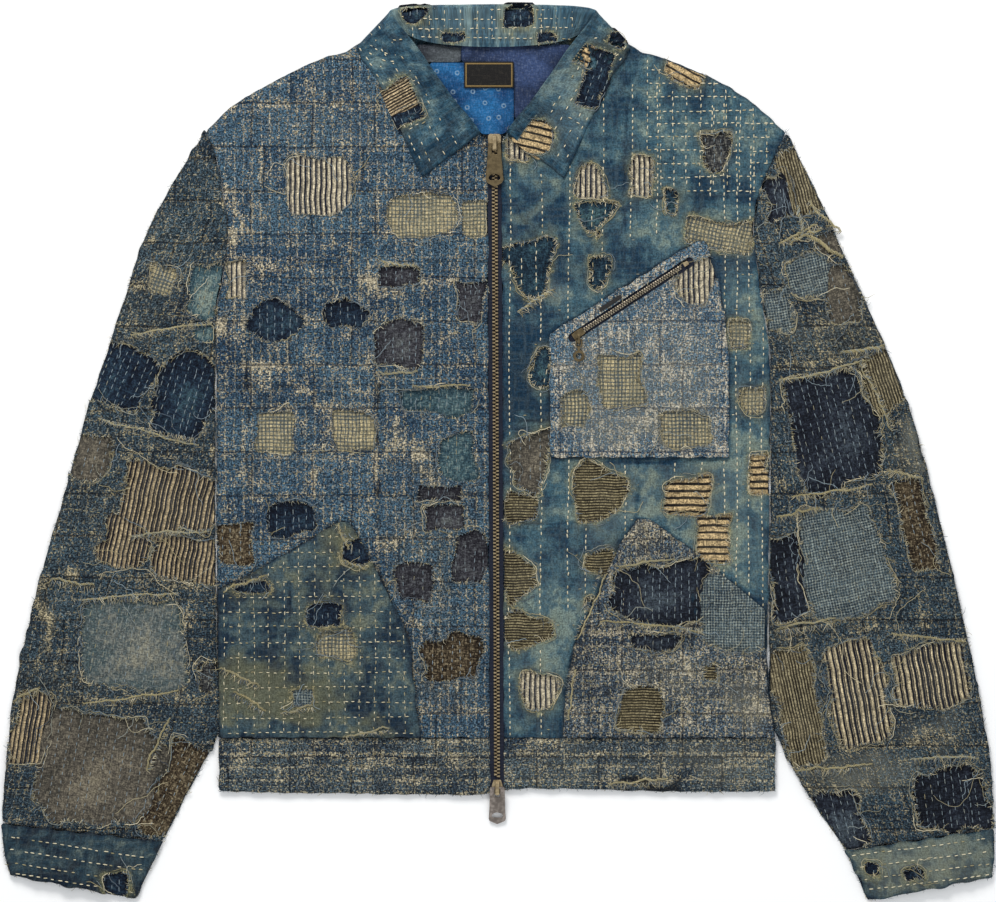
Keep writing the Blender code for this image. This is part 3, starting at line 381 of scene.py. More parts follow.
# %% Worn places
# panel: x, y, reach x, reach y, cream, shade, brown
WORN = read_table("""
FR: -256 200 12 11 1.5 .3 .3; -256 124 14 9 1.6 .3 .4; -252 240 10 14 1 .2 .2
-226 78 16 8 .9 .2 .3; -118 156 9 22 1.2 .2 .3; -60 108 24 7 1.1 .2 .3; -96 14 9 20 1.2 .3 .4
-70 -8 12 14 1.4 .3 .4; -172 -30 10 12 1.2 .2 .2; -96 -84 12 10 1 .1 .5; -70 226 50 26 .5 .2 .5
-86 154 34 10 .9 .2 .3; -240 150 22 60 .5 .1 .2; -210 86 26 12 1 .1 .2; -100 88 60 8 .6 .1 .1
-180 62 80 6 .5 -.1 0; -213 20 30 30 .5 .2 .4; -140 20 32 28 .7 .2 .5; -170 130 60 30 .2 -.1 0
-100 300 80 30 0 0 -.1; -200 320 50 30 .2 0 .1; -240 240 20 40 .3 -.1 .1; -56 -60 50 60 0 0 .6
-60 -160 40 60 .1 0 .5; -60 -230 50 26 .2 .1 .6; -150 -30 60 26 .2 0 -.2; -50 60 50 30 -.1 -.2 -.3
-235 -30 26 30 .2 -.2 .2; -160 306 56 32 .3 .2 0; -228 75 30 40 -.4 -.4 -.2
SL: 396 8 24 24 .3 .9 .3; 346 -302 46 22 .5 .9 .2; 410 -264 40 16 .3 .6 .1; 300 118 34 14 .4 .4 .3
290 280 30 26 .3 0 .6; 330 150 30 50 .2 0 .5; 280 90 30 20 .4 0 .5; 340 90 40 20 .4 .1 .7
370 0 30 40 .2 0 .1; 330 -30 60 14 .5 .1 .3; 420 -130 26 40 .2 -.1 .2; 330 -166 60 12 .5 0 .5
270 -170 20 30 .5 0 .8; 400 -270 60 16 .5 0 .2; 300 -310 40 26 .4 0 .6; 360 -330 30 40 -.1 -.2 -.1
PL: 236 -240 26 30 .3 .6 .3; 170 -212 40 26 .3 .5 .2; 190 -152 14 30 0 -.9 0
78 -200 16 50 .1 -.5 .2; 128 -66 16 18 .3 .2 .7; 130 -90 40 20 .1 0 .6; 110 -190 40 30 .2 .1 .3
150 -230 60 30 .2 0 .4; 240 -220 20 40 .2 .1 .5
CP: 100 40 60 60 .2 .3 0; 130 80 70 90 .5 .4 .1; 190 70 30 60 .3 .3 .1; 180 20 40 20 .3 .3 .3
120 20 60 14 .3 .2 .2
SR: -392 60 10 14 1 .3 .5; -262 80 10 12 1.3 .3 .6; -374 14 10 8 1.4 .4 .5
-400 -110 12 8 1.3 .3 .5; -426 -152 8 26 1.2 .3 .9; -300 -124 34 9 .9 .2 .3
-270 240 20 60 0 -.1 0; -320 180 30 50 .2 0 .5; -350 120 26 30 .3 .1 .5; -300 110 40 20 .3 0 .2
-380 -50 30 30 .2 0 .5; -320 0 60 16 .3 .1 .2; -420 -130 26 60 .1 0 .2; -290 -150 26 50 .3 0 .2
-420 -220 40 30 .2 0 .6; -440 -320 26 40 0 -.2 .1; -330 -230 60 12 .4 .1 .4
-360 -364 70 12 .3 -.1 .1
FL: 70 -160 60 140 0 .35 .05; 225 0 50 170 0 .5 .1; 150 -30 60 60 0 .25 .1; 60 200 50 60 0 .1 .2
140 225 40 30 .1 .3 .2; 26 222 16 8 .3 .5 .4; 56 152 14 14 .3 .7 .2; 40 120 30 40 0 .2 0
24 60 16 60 0 -.5 -.2; 120 -20 40 30 .1 .2 .2; 60 -20 30 26 0 -.2 -.1; 110 -60 40 20 0 .3 0
40 -90 40 30 -.1 -.1 -.2; 80 -130 30 30 0 .1 0; 30 -220 22 40 .1 .2 .3; 190 300 60 40 -.1 0 0
240 90 12 90 .1 -.3 0; 120 330 40 30 .1 .1 .1; 36 262 26 22 .2 .2 .3; 234 146 14 34 .4 .3 .1
152 250 44 30 -.3 -.4 -.2
HL: 148 -313 30 5 0 -1.8 0; 60 -294 60 26 .2 .3 .2; 200 -294 60 26 .3 .5 .4
PR: -236 -222 30 26 .2 .2 .9; -186 -240 24 16 .2 .2 .8; -142 -84 20 24 .2 .3 .9
-124 -264 34 10 .2 .1 .8; -190 -230 70 26 .6 .1 .8; -150 -160 50 50 .2 .1 .3
-230 -130 26 26 .2 -.1 .3; -180 -110 40 20 .2 0 .3; -110 -240 26 20 0 -.3 -.3
-240 -200 20 40 .2 0 .2
CO: 60 298 22 26 .2 .3 0; -10 405 80 24 .2 .5 .1; 70 340 30 40 .2 .5 .2; -100 340 30 30 .2 .1 .2
60 320 40 30 .1 -.1 0; -110 300 30 30 0 .2 .1; -30 410 90 16 0 -.1 .1
KL: 400 -396 80 40 .2 .8 .4
KR: -390 -390 80 40 0 -.2 0
HR: -180 -294 90 26 .2 0 .3; -40 -294 60 26 .1 0 .4""")


def wear_at(panel, x, y):
    """Cream, shade and brown at each place of a panel."""
    found = [np.zeros(np.shape(x)) for _ in range(3)]
    wander_x = 7.0 * puckers(x, y, 26.0, 31)
    wander_y = 7.0 * puckers(x, y, 26.0, 32)
    for row in WORN:
        if row[0] == panel:
            off = ((x + wander_x - row[1]) / row[3]) ** 2 + ((y + wander_y - row[2]) / row[4]) ** 2
            reach = np.exp(-0.7 * off ** 1.5)
            for index in range(3):
                found[index] += row[5 + index] * reach
    return found


print(len(WORN), "worn places")

# %% [markdown]
# ## Cutting cloth
# A sheet of cloth starts as a fine square lattice. Each place knows how far it is inside the
# cut: positive on the cloth, negative off it or in a torn window. Where the sign changes
# between two neighbours the edge runs between them, and the cell there is cut along it. So
# outlines and torn windows come out smooth, and the edges are known for fraying them later.

# %% Outlines and tears
def ring_points(*runs):
    """Closed outline made of several runs of points."""
    return np.array([point for run in runs for point in run], float)


def line_distance(x, y, line):
    """Distance from each place to a line of points."""
    best = np.full(np.shape(x), 1e9)
    for (ax, ay), (bx, by) in zip(line[:-1], line[1:]):
        dx, dy = bx - ax, by - ay
        t = clamp(((x - ax) * dx + (y - ay) * dy) / (dx * dx + dy * dy + 1e-12))
        best = np.minimum(best, np.hypot(x - ax - t * dx, y - ay - t * dy))
    return best


def inside_by(x, y, outline):
    """How far inside an outline each place lies, negative outside it."""
    inside = np.zeros(np.shape(x), bool)
    closed = np.vstack([outline, outline[:1]])
    for (ax, ay), (bx, by) in zip(closed[:-1], closed[1:]):
        if ay != by:
            inside ^= ((ay > y) != (by > y)) & (x < (bx - ax) * (y - ay) / (by - ay) + ax)
    return np.where(inside, 1.0, -1.0) * line_distance(x, y, closed)


print("2 mm in:", round(float(inside_by(2.0, 5.0, ring_points([(0, 0), (9, 0), (9, 9), (0, 9)]))), 1))

# %% Torn windows
TAPERS = {                  # middle of a window: how much wider it is at its right, and at its top
    (86, 255): (0.0, -0.75), (89, 223): (0.0, 0.8), (28, 173): (0.3, 0.4), (95, 168): (0.0, 0.3),
    (23, -53): (-0.5, 0.0), (96, -39): (-0.7, 0.3), (178, -42): (0.5, 0.0), (96, -104): (0.6, 0.0),
    (21, -118): (-0.9, 0.3), (29, -167): (-0.8, 0.0), (39, -226): (0.0, 0.4), (29, -9): (0.7, 0.3),
    (150, -133): (0.6, 0.4), (146, -179): (-0.3, 0.3), (163, 235): (0.0, 0.2), (205, 282): (0.0, 0.6),
    (186, 158): (0.3, 0.6), (-143, 129): (-0.5, 0.0), (-209, 122): (-0.3, 0.0), (41, 80): (0.0, -0.5),
    (-58, 48): (0.3, 0.2), (-38, -4): (0.5, 0.0), (-194, -64): (-0.3, 0.0), (-43, -194): (0.3, 0.2)}


def in_window(row, x, y):
    """How far inside a torn window each place lies, negative outside it."""
    cx, cy, wide, long, turn, square, ragged = row[2:9]
    seed = int(abs(cx * 13 + cy * 7 + wide)) + 5
    cos, sin = math.cos(math.radians(turn)), math.sin(math.radians(turn))
    u = (x - cx) * cos + (y - cy) * sin
    v = (y - cy) * cos - (x - cx) * sin
    size = min(wide, long)
    widen, raise_up = TAPERS.get((cx, cy), (0.0, 0.0))
    u, v = (u / (1.0 + raise_up * clamp(v / long, -0.5, 0.5)),
            v / (1.0 + widen * clamp(u / wide, -0.5, 0.5)))

    def shaken(k):
        return (ragged * 1.3 * puckers(u, v, 16.0, seed + k),
                0.07 * size * puckers(u, v, 0.8 * size, seed + 3 + k))
    fine, broad = shaken(0)
    u = u + fine + broad
    fine, broad = shaken(1)
    v = v + fine + broad
    corner = (1.0 - 0.9 * square) * size / 2.0
    qx, qy = np.abs(u) - wide / 2.0 + corner, np.abs(v) - long / 2.0 + corner
    off = np.hypot(np.maximum(qx, 0), np.maximum(qy, 0)) + np.minimum(np.maximum(qx, qy), 0)
    return corner - off + 0.35 * ragged * puckers(x, y, 4.5, seed + 2)


def in_any_window(rows, x, y):
    """The same for the nearest of several windows; far from all of them it says -40."""
    best = np.full(np.shape(x), -40.0)
    for row in rows:
        reach = 0.75 * max(row[4], row[5]) + 24.0
        near = (np.abs(x - row[2]) < reach) & (np.abs(y - row[3]) < reach)
        if near.any():
            best[near] = np.maximum(best[near], in_window(row, x[near], y[near]))
    return best


row = WINDOWS[0]
print(row[1], "window's middle is", round(float(in_window(row, row[2], row[3])), 1), "mm inside")

# %% Meshes
def make_mesh(name, points, faces, flat=None, marks=None, smooth=True):
    """Mesh from points in millimetres and faces of any size, with cloth places and marks."""
    mesh = bpy.data.meshes.new(name)
    mesh.vertices.add(len(points))
    mesh.vertices.foreach_set("co", (np.asarray(points, float) * MM).ravel())
    counts = np.array([len(f) for f in faces], int)
    corners = np.concatenate([np.asarray(f, int) for f in faces]) if len(faces) else []
    mesh.loops.add(len(corners))
    mesh.loops.foreach_set("vertex_index", corners)
    mesh.polygons.add(len(counts))
    mesh.polygons.foreach_set("loop_start", np.concatenate([[0], np.cumsum(counts)[:-1]]))
    mesh.update(calc_edges=True)
    mesh.polygons.foreach_set("use_smooth", np.full(len(counts), smooth))
    if flat is not None:
        layer = mesh.uv_layers.new(name="cloth")
        layer.data.foreach_set("uv", (np.asarray(flat, float) * MM)[corners].ravel())
    for mark, values in (marks or {}).items():
        spot = mesh.attributes.new(mark, "FLOAT", "POINT")
        spot.data.foreach_set("value", np.asarray(values, float))
    mesh.validate(clean_customdata=False)
    obj = bpy.data.objects.new(name, mesh)
    scene.collection.objects.link(obj)
    return obj


print("meshes are made in millimetres and kept in metres, 1 mm being", MM)


# %% The cutter
def cut_sheet(at, keep, data):
    """Cuts a lattice of points where keep changes sign. Gives points, faces, data and edges."""
    inside = keep > 0.0
    rows, columns = keep.shape
    number = np.full(keep.shape, -1)
    number[inside] = np.arange(inside.sum())
    points = [at[inside]]
    values = {k: [v[inside]] for k, v in data.items()}
    total = int(inside.sum())
    crossing = []
    for down, right in ((1, 0), (0, 1)):
        a = slice(0, rows - down), slice(0, columns - right)
        b = slice(down, rows), slice(right, columns)
        cut = inside[a] != inside[b]
        t = (keep[a] / (keep[a] - keep[b] + 1e-12))[cut]
        index = np.full(keep.shape, -1)
        index[a][cut] = total + np.arange(cut.sum())
        total += int(cut.sum())
        points.append(at[a][cut] + (at[b][cut] - at[a][cut]) * t[:, None])
        for k, v in data.items():
            shape = (-1,) + (1,) * (v.ndim - 2)
            values[k].append(v[a][cut] + (v[b][cut] - v[a][cut]) * t.reshape(shape))
        crossing.append(index)
    down_cut, right_cut = crossing
    held = (inside[:-1, :-1].astype(int) + inside[1:, :-1] + inside[:-1, 1:] + inside[1:, 1:])
    r, c = np.nonzero(held == 4)
    faces = list(np.stack([number[r, c], number[r, c + 1], number[r + 1, c + 1], number[r + 1, c]], 1))
    edges = []
    for r, c in zip(*np.nonzero((held > 0) & (held < 4))):
        ring = ((r, c), (r, c + 1), (r + 1, c + 1), (r + 1, c))
        sides = (right_cut[r, c], down_cut[r, c + 1], right_cut[r + 1, c], down_cut[r, c])
        face, cuts = [], []
        for place, side in zip(ring, sides):
            if number[place] >= 0:
                face.append(number[place])
            if side >= 0:
                face.append(side)
                cuts.append(side)
        if len(face) > 2:
            faces.append(face)
        if len(cuts) == 2:
            edges.append(cuts)
    joined = {k: np.concatenate(v) for k, v in values.items()}
    return np.concatenate(points), faces, joined, np.array(edges)


print("cutter ready")

# %% [markdown]
# ## One recipe for every flat piece
# A panel needs four things: its outline, the height of its outside, how its edges roll over,
# and its windows. `lay_cloth` turns them into a sheet. Edges of real cloth are folded, so the
# height falls away there on a quarter circle. Each sheet also carries marks for its finish:
# how near a torn edge is, how much cream, shade and brown wear has given it, and painted
# shade along its rolled edges, in its seams and fold valleys, and round the pockets on it.

# %% Laying a panel
LATTICE = 2.2
panels = {}                 # panel: its surface, outline and windows, for the later steps


def rolled(far, reach):
    """Share of a fold's depth at each distance from the edge: 1 on it, 0 past its reach."""
    t = clamp(far / reach)
    return 1.0 - np.sqrt(1.0 - (1.0 - t) ** 2)


def lattice(outline, step):
    low, high = outline.min(0) - 1.5 * step, outline.max(0) + 1.5 * step
    return np.meshgrid(np.arange(low[0], high[0], step), np.arange(low[1], high[1], step))


def make_surface(panel, base, small, large, hems, size=6.5):
    """Height of a panel's outside: its base, puckers, seams and folds, less its rolled edges."""
    seed = sum(ord(letter) for letter in panel)

    def top(x, y):
        height = base(x, y) + small * puckers(x, y, size, seed) + seam_relief(panel, x, y)[0]
        height = height + large * puckers(x, y, 34.0, seed + 1)
        for line, depth, reach in hems:
            fall = depth(x, y) if callable(depth) else depth
            height = height - fall * rolled(line_distance(x, y, line), reach)
        return height
    return top


print("lattice of", LATTICE, "mm")

# %% Pocket outlines
# pockets: y, outer x, inner x
POCKET_RIGHT = read_table("""
-268.4 -261.6 -73; -225 -262.4 -78; -172 -262.8 -84; -138 -262.8 -102; -130 -262.8 -105
-109 -222 -115; -85 -181 -128.5; -66 -150 -140""")
POCKET_LEFT = read_table("""
-268.4 259.6 60; -225 253.4 64; -185 251.6 70; -165 252 78; -148 252.2 87; -126 226 98
-88 177 114; -63 142 131""")
CHEST_POCKET = read_table("""
-5 49 217; 40 49 217; 91 49 217; 111 49 215; 129 77 213; 150 110 209; 172 145 204; 198 186 194.5""")


def close_run(points, step=4.0):
    """The same line of points with more of them, so that lattices follow it well."""
    dense = []
    for a, b in zip(points[:-1], points[1:]):
        count = max(1, int(math.dist(a, b) / step))
        dense += [tuple(np.add(a, np.subtract(b, a) * k / count)) for k in range(count)]
    return dense + [tuple(points[-1])]


def pocket_outline(rows):
    """Outline of a pocket, down its inner side after its outer one."""
    outer = close_run([(row[1], row[0]) for row in rows])
    inner = close_run([(row[2], row[0]) for row in rows])
    return ring_points(outer, inner[::-1])


print("right pocket's outline has", len(pocket_outline(POCKET_RIGHT)), "points")

# %% The recipe
# pockets that cast a painted shadow on the front they lie on
POCKETS_CASTING_SHADOW = {"FR": [POCKET_RIGHT], "FL": [POCKET_LEFT, CHEST_POCKET]}


def straight_place(x, y):
    return np.stack([x, y], -1)


def lay_cloth(name, panel, outline, top, step=LATTICE, place=straight_place, hole=None, ragged=0.5):
    """Sheet of cloth inside an outline, with the panel's windows torn out of it."""
    x, y = lattice(outline, step)
    edge = inside_by(x, y, outline) + ragged * puckers(x, y, 9.0, len(name))
    rows = windows_of(panel)
    torn = in_any_window(rows, x, y)
    keep = np.minimum(edge, -torn)
    if hole is not None:
        keep = np.minimum(keep, -hole(x, y))
    near = np.clip(-torn, 0.0, 40.0)
    z = top(x, y) - 0.55 * np.exp(-near / 0.9) + 0.5 * hill(near - 3.0, 2.2)
    cream, shade, brown = wear_at(panel, x, y)
    _, dark, pale = seam_relief(panel, x, y)
    in_from = clamp(edge, 0.0, 60.0)
    # painted shade: from the seams' grooves and the folds' valleys, and along every rolled edge of the sheet
    shade = shade + dark - 0.7 * np.exp(-in_from / 1.3)
    cream = cream + pale + 0.4 * hill(in_from - 3.2, 1.6)
    # painted shadow round each pocket, darkest against its edge
    for rows_over in POCKETS_CASTING_SHADOW.get(panel, ()):
        beside = np.clip(-inside_by(x, y, pocket_outline(rows_over)), 0.0, 60.0)
        shade = shade - 1.1 * np.exp(-beside / 1.8)
    data = {"flat": place(x, y), "fray": np.exp(-near / 6.0), "cream": cream, "shade": shade,
            "brown": brown, "torn": (torn > -3.0).astype(float)}
    points, faces, values, edges = cut_sheet(np.stack([x, y, z], -1), keep, data)
    torn_mark = values.pop("torn")
    obj = make_mesh(name, points, faces, values.pop("flat"), values)
    panels[panel] = {"top": top, "outline": outline, "rows": rows, "place": place, "obj": obj,
                     "edges": points[edges[torn_mark[edges].min(1) > 0.5]] if len(edges) else []}
    print(name, len(faces), "faces,", len(rows), "windows")
    return obj


# %% [markdown]
# ## The two fronts
# The fronts carry the jacket's whole character. Each runs from the hem seam to the shoulder
# and from its side seam to the zip. Its side folds down to meet the back, its shoulder rolls
# over, and the edge along the zip is a narrow double fold.

# %% Fronts
def side_run(side, low, high, off=0.0, count=110):
    column = 1 if side < 0 else 2
    ys = np.linspace(low, high, count)
    return [(float(follow(SIDE_LINES, y, column)) + off, y) for y in ys]


def front_outline(side):
    shoulder = sorted([p for p in SHOULDERS if side * (p[0] - COLLAR_MID_X) > 90.0],
                      key=lambda p: -side * p[0])
    neck = [(COLLAR_MID_X + side * x, y) for x, y in NECKLINE]
    zip_run = [(float(zip_x(y)) + side * ZIP_EDGE, y) for y in np.linspace(290.0, HEM_SEAM_Y + 0.35, 60)]
    return side_run(side, HEM_SEAM_Y + 0.35, 301.0), shoulder, neck, zip_run


def side_depth(x, y):
    """The armhole seam is a shallow groove; below it the side folds down to the back."""
    return 1.0 + 1.45 * clamp((150.0 - y) / 40.0)


def front_hems(side):
    side_line, shoulder, _, zip_run = front_outline(side)
    hem_line = [(side * 270.0, HEM_SEAM_Y), (0.0, HEM_SEAM_Y)]
    return [(side_line, side_depth, 4.5), (shoulder, 2.4, 6.0), (zip_run, 1.5, 2.6),
            (hem_line, 0.8, 2.0)]


front_right = lay_cloth("front_cloth_right", "FR", ring_points(*front_outline(-1)),
                        make_surface("FR", front_top, 0.26, 0.35, front_hems(-1)))
front_left = lay_cloth("front_cloth_left", "FL", ring_points(*front_outline(1)),
                       make_surface("FL", front_top, 0.1, 0.5, front_hems(1), 8.0))

# %% [markdown]
# ## Back and hem bands
# The back hides under the fronts, so its lattice is coarser and it is left plain. Its edges
# turn up to meet the fronts' edges half way. The hem band is a strip folded double all round.

# %% Back and hem bands
MID = 2.45                  # height at which the front and the back layer meet


def under_side(lines, reach=5.0):
    """Height of a bottom layer: it lies on the floor and turns up to MID at its edges."""
    def low(x, y):
        far = np.min([line_distance(x, y, line) for line in lines], axis=0)
        return MID * rolled(far, reach) + 0.1
    return low


back_run = (side_run(-1, HEM_SEAM_Y, 301.0, 0.0, 60), list(SHOULDERS),
            side_run(1, HEM_SEAM_Y, 301.0, 0.0, 60)[::-1])
back_outline = ring_points(*back_run)
back = lay_cloth("back_cloth", "BK", back_outline, under_side(back_run), 5.0)


def hem_outline(from_x, to_x):
    xs = np.linspace(from_x, to_x, 60)
    return ([(x, HEM_SEAM_Y - 0.35) for x in xs], [(x, float(follow(HEM_EDGE, x))) for x in xs[::-1]])


def make_hem(name, panel, from_x, to_x):
    seam, lower = hem_outline(from_x, to_x)
    ends = [seam[0], lower[-1]], [seam[-1], lower[0]]
    hems = [(seam, 0.7, 2.0), (lower, 2.4, 3.5)]
    hems += [(end, 2.4 if abs(end[0][0]) > 100.0 else 1.5, 3.0) for end in ends]
    top = make_surface(panel, lambda x, y: front_top(x, y * 0 + HEM_SEAM_Y), 0.25, 0.3, hems)
    return lay_cloth(name, panel, ring_points(seam, lower), top)


hem_zip = float(zip_x(-320.0))
hem_right = make_hem("hem_cloth_right", "HR", -262.6, hem_zip - ZIP_EDGE)
hem_left = make_hem("hem_cloth_left", "HL", hem_zip + ZIP_EDGE, 260.6)
seam, lower = hem_outline(-262.6, 260.6)
hem_back = lay_cloth("hem_cloth_back", "HB", ring_points(seam, lower),
                     under_side([lower, [seam[0], lower[-1]], [seam[-1], lower[0]]]), 5.0)

# %% [markdown]
# ## Sleeves and cuffs
# A sleeve is a tube pressed flat: two layers that share a rounded fold along each side. The
# upper layer gets the fine lattice and the windows. Stripes in a sleeve run along the arm, so
# the cloth's own places are measured across from the arm's middle line, which leans outwards.

# %% Sleeves
# sleeves and cuffs: outer x, outer y, inner x, inner y, height
SLEEVE_RIGHT = read_table("""
-276 301.4 -264 143 4.9; -297 267 -265.4 120 6; -316 235 -266 95 7; -334.5 196 -266 60 8
-352 141 -266 20 8; -383 49 -266 -40 8; -409.5 -45 -265.6 -110 8; -436 -139 -265.1 -180 8
-456 -233 -264.3 -268 8; -463 -295 -286 -309 8; -466.5 -348.5 -315 -365.5 8""")
SLEEVE_LEFT = read_table("""
271 301.4 249 143 4.9; 291 262 252.8 120 6; 307 228 256.2 92 7; 325 187 257 60 8; 347 138 257 20 8
385 47 256.4 -40 8; 410.5 -45 255.6 -110 8; 433.5 -139 255.2 -180 8; 453.5 -233 263 -268 8
463 -295 277 -297 8; 466.5 -353.5 327 -374.5 8""")
CUFF_RIGHT = read_table("""
-466.5 -349.4 -315.6 -366.4 8; -465 -374 -328 -393 8.4; -459 -398 -341 -420.5 8.4""")
CUFF_LEFT = read_table("""
466.7 -354.4 327.2 -375.4 8; 466.7 -377 338 -399 8.4; 465 -400 348 -422 8.4""")


print("sleeves are read at", len(SLEEVE_RIGHT), "places, cuffs at", len(CUFF_RIGHT))


# %% Tubes pressed flat
def tube_runs(stations, side, armhole):
    """Outer fold, end and inner fold of a flattened tube, and the armhole's curve if it has one."""
    rows = np.array(stations)
    outer_y = np.linspace(rows[0, 1], rows[-1, 1], 100)
    inner_y = np.linspace(rows[0, 3], rows[-1, 3], 80)
    outer = [(float(follow(rows[:, [1, 0]], y)), y) for y in outer_y]
    inner = [(float(follow(rows[:, [3, 2]], y)), y) for y in inner_y]
    hole = side_run(side, 143.0, 301.0, side * 0.8, 40) if armhole else []
    return outer, [outer[-1], inner[-1]], inner, hole


def tube_base(stations, runs):
    """Height of a tube's upper layer, rounded down to MID at its folds."""
    rows = np.array(stations)
    outer, _, inner, hole = runs

    def top(x, y):
        outer_x, inner_x = follow(rows[:, [1, 0]], y), follow(rows[:, [3, 2]], y)
        share = clamp((x - outer_x) / (inner_x - outer_x + 1e-9))
        crown = 4.9 + (follow(rows[:, [1, 4]], y) - 4.9) * np.sin(np.pi * share) ** 0.6
        fold = (crown - MID) * rolled(line_distance(x, y, outer), 6.0)
        inner_fold = (crown - MID) * rolled(line_distance(x, y, inner), 6.0)
        if hole:
            inner_fold *= clamp((150.0 - y) / 40.0, 0.25, 1.0)
        return crown - np.maximum(fold, inner_fold)
    return top


def make_tube(name, panel, stations, side, armhole, small, large, end_roll):
    runs = tube_runs(stations, side, armhole)
    outer, end, inner, hole = runs
    outline = ring_points(outer, inner[::-1], hole)
    middle = np.array([[(o[1] + i[1]) / 2.0, (o[0] + i[0]) / 2.0]
                       for o, i in zip(outer, np.array(inner)[np.linspace(0, 79, 100).astype(int)])])

    def along_arm(x, y):
        return np.stack([x - follow(middle, y), y * 1.04], -1)

    start = [outer[0], inner[0]]
    hems = [(end, end_roll, 3.0)] + ([(hole, 1.0, 3.0)] if armhole else [(start, 0.8, 2.0)])
    top = make_surface(panel, tube_base(stations, runs), small, large, hems)
    upper = lay_cloth(name, panel, outline, top, LATTICE, along_arm, None, 1.0)
    kept = dict(panels[panel])
    lower = lay_cloth(name + "_under", "under", outline, under_side([outer, inner], 6.0), 6.0, along_arm)
    lower.data.flip_normals()
    with bpy.context.temp_override(active_object=upper, object=upper,
                                   selected_objects=[upper, lower],
                                   selected_editable_objects=[upper, lower]):
        bpy.ops.object.join()
    panels[panel] = kept
    return upper


sleeve_right = make_tube("sleeve_cloth_right", "SR", SLEEVE_RIGHT, -1, True, 0.48, 0.7, 1.0)
sleeve_left = make_tube("sleeve_cloth_left", "SL", SLEEVE_LEFT, 1, True, 0.48, 0.7, 1.0)
cuff_right = make_tube("cuff_cloth_right", "KR", CUFF_RIGHT, -1, False, 0.15, 0.3, 2.2)
cuff_left = make_tube("cuff_cloth_left", "KL", CUFF_LEFT, 1, False, 0.15, 0.3, 2.2)

# %% [markdown]
# ## Pockets
# Two slanted hand pockets and one chest pocket lie on the fronts. They follow the front's own
# surface, one cloth and one small gap higher. The chest pocket has a slot for its zip.

# %% Pockets
CHEST_ZIP = (70.0, 107.5, 180.0, 179.0)
SLOT_WIDTH = 8.4


def make_pocket(name, panel, rows, small, large, hole=None):
    outline = pocket_outline(rows)
    rim = np.vstack([outline, outline[:1]])
    top = make_surface(panel, pocket_top, small, large, [(rim, 2.3, 3.0)])
    return lay_cloth(name, panel, outline, top, LATTICE, straight_place, hole, 0.7)


def chest_slot(x, y):
    side, past, _ = nearest_on(x, y, CHEST_ZIP)
    return SLOT_WIDTH / 2.0 - np.hypot(side, past)


pocket_right = make_pocket("pocket_cloth_right", "PR", POCKET_RIGHT, 0.15, 0.45)
pocket_left = make_pocket("pocket_cloth_left", "PL", POCKET_LEFT, 0.4, 0.5)
chest_pocket = make_pocket("chest_pocket_cloth", "CP", CHEST_POCKET, 0.24, 0.3, chest_slot)

# %% [markdown]
# ## The collar
# A shirt collar has a stand that rises from the neck seam and a fall that rolls over it. Each
# row below is one section of it, from the zip to the back of the neck. Behind the neck the
# jacket's own weight has pressed the fall flat, and the inside of the stand shows.

# %% Collar sections
# seam x, y; roll x, y; edge x, y; heights inside, on the roll, outside; edge's height
COLLAR = read_table("""
-21 295.5 -16 300 -71 258 9 10.4 9.6 -; -31 309.5 -26 313.5 -80 276 10 12 11.4 -
-44 324.5 -39 328.5 -91 300 11.5 13.8 13 -; -56 340 -50.5 344 -103 326 12.5 15 14 -
-68 357 -62.5 361 -115 352 13 15.2 14 -; -79 373 -74 378 -128 368 13 15 13.6 -
-87 388 -89 397 -131 376 12.6 14 12.4 10; -89 393 -100 410.8 -133 379.5 11.6 12 10.6 9.6
-87 393 -101.5 414.4 -133 381 10.8 9.2 6.2 5; -84 392 -97 416.8 -129 375 10.6 7 2.6 1.1
-78 389 -87 418.6 -118 366 10.4 6.2 1.6 1.1; -62 384.6 -66 420 -92 361 10.2 5.8 1.3 1.1
-34 381.6 -36 420.6 -48 360 10.2 5.8 1.3 1.1; -4.5 380.6 -4.5 421 -4.5 360 10.2 5.8 1.3 1.1""")


def collar_section(row):
    """Nine points from the neck seam over the roll to the collar's edge."""
    seam, roll, edge = (np.array(row[k:k + 2]) for k in (0, 2, 4))
    inner, crest, outer, rest = row[6:]
    lie = WALL / 2.0 + LAY
    start = front_top(*seam) + lie
    if seam[1] > 380.0 and rest is not None:
        start = max(front_top(*seam), back_top(*seam)) + lie
    out = (edge - roll) / np.linalg.norm(edge - roll) * 3.0
    back_in = (seam - roll) / np.linalg.norm(seam - roll) * 3.0
    line = [(*seam, start), (*((seam + roll) / 2.0), start + 0.6 * (inner - start)),
            (*(roll + back_in), inner), (*roll, crest), (*(roll + out), outer)]
    for share, drop in ((0.3, 0.55), (0.6, 0.85), (0.85, 1.0), (1.0, 1.0)):
        place = roll + (edge - roll) * share
        end = front_top(*place) + lie if rest is None else rest
        line.append((*place, outer + drop * (end - outer)))
    return line


def refine(grid, count):
    """Smooth curves through the first axis of a grid of points, read at even steps."""
    steps = np.linalg.norm(np.diff(grid, axis=0), axis=2).mean(1)
    at = np.concatenate([[0.0], np.cumsum(steps)])
    made = curve(at, grid.reshape(len(grid), -1), np.linspace(0.0, at[-1], count))
    return made.reshape(count, *grid.shape[1:])


right_half = [collar_section(row) for row in COLLAR]
left_half = [[(2.0 * COLLAR_MID_X - x, y, z) for x, y, z in row] for row in right_half[:-1]]
collar_grid = np.array(right_half + left_half[::-1])
collar_grid = refine(collar_grid, 330)
collar_grid = refine(collar_grid.transpose(1, 0, 2), 56).transpose(1, 0, 2)
print("collar lattice", collar_grid.shape[:2])

# %% [markdown]
# The collar can't be a plain lattice on the floor, because it stands up, but the same cutter
# works on it: its lattice is bent, and the windows are found from where each point lies. A
# border row that drops below each edge gives the collar its folded, quilted rim.

# %% Collar cloth
def run_along(line):
    """How far along a line of points each of them is."""
    return np.concatenate([[0.0], np.cumsum(np.linalg.norm(np.diff(line, axis=0), axis=1))])


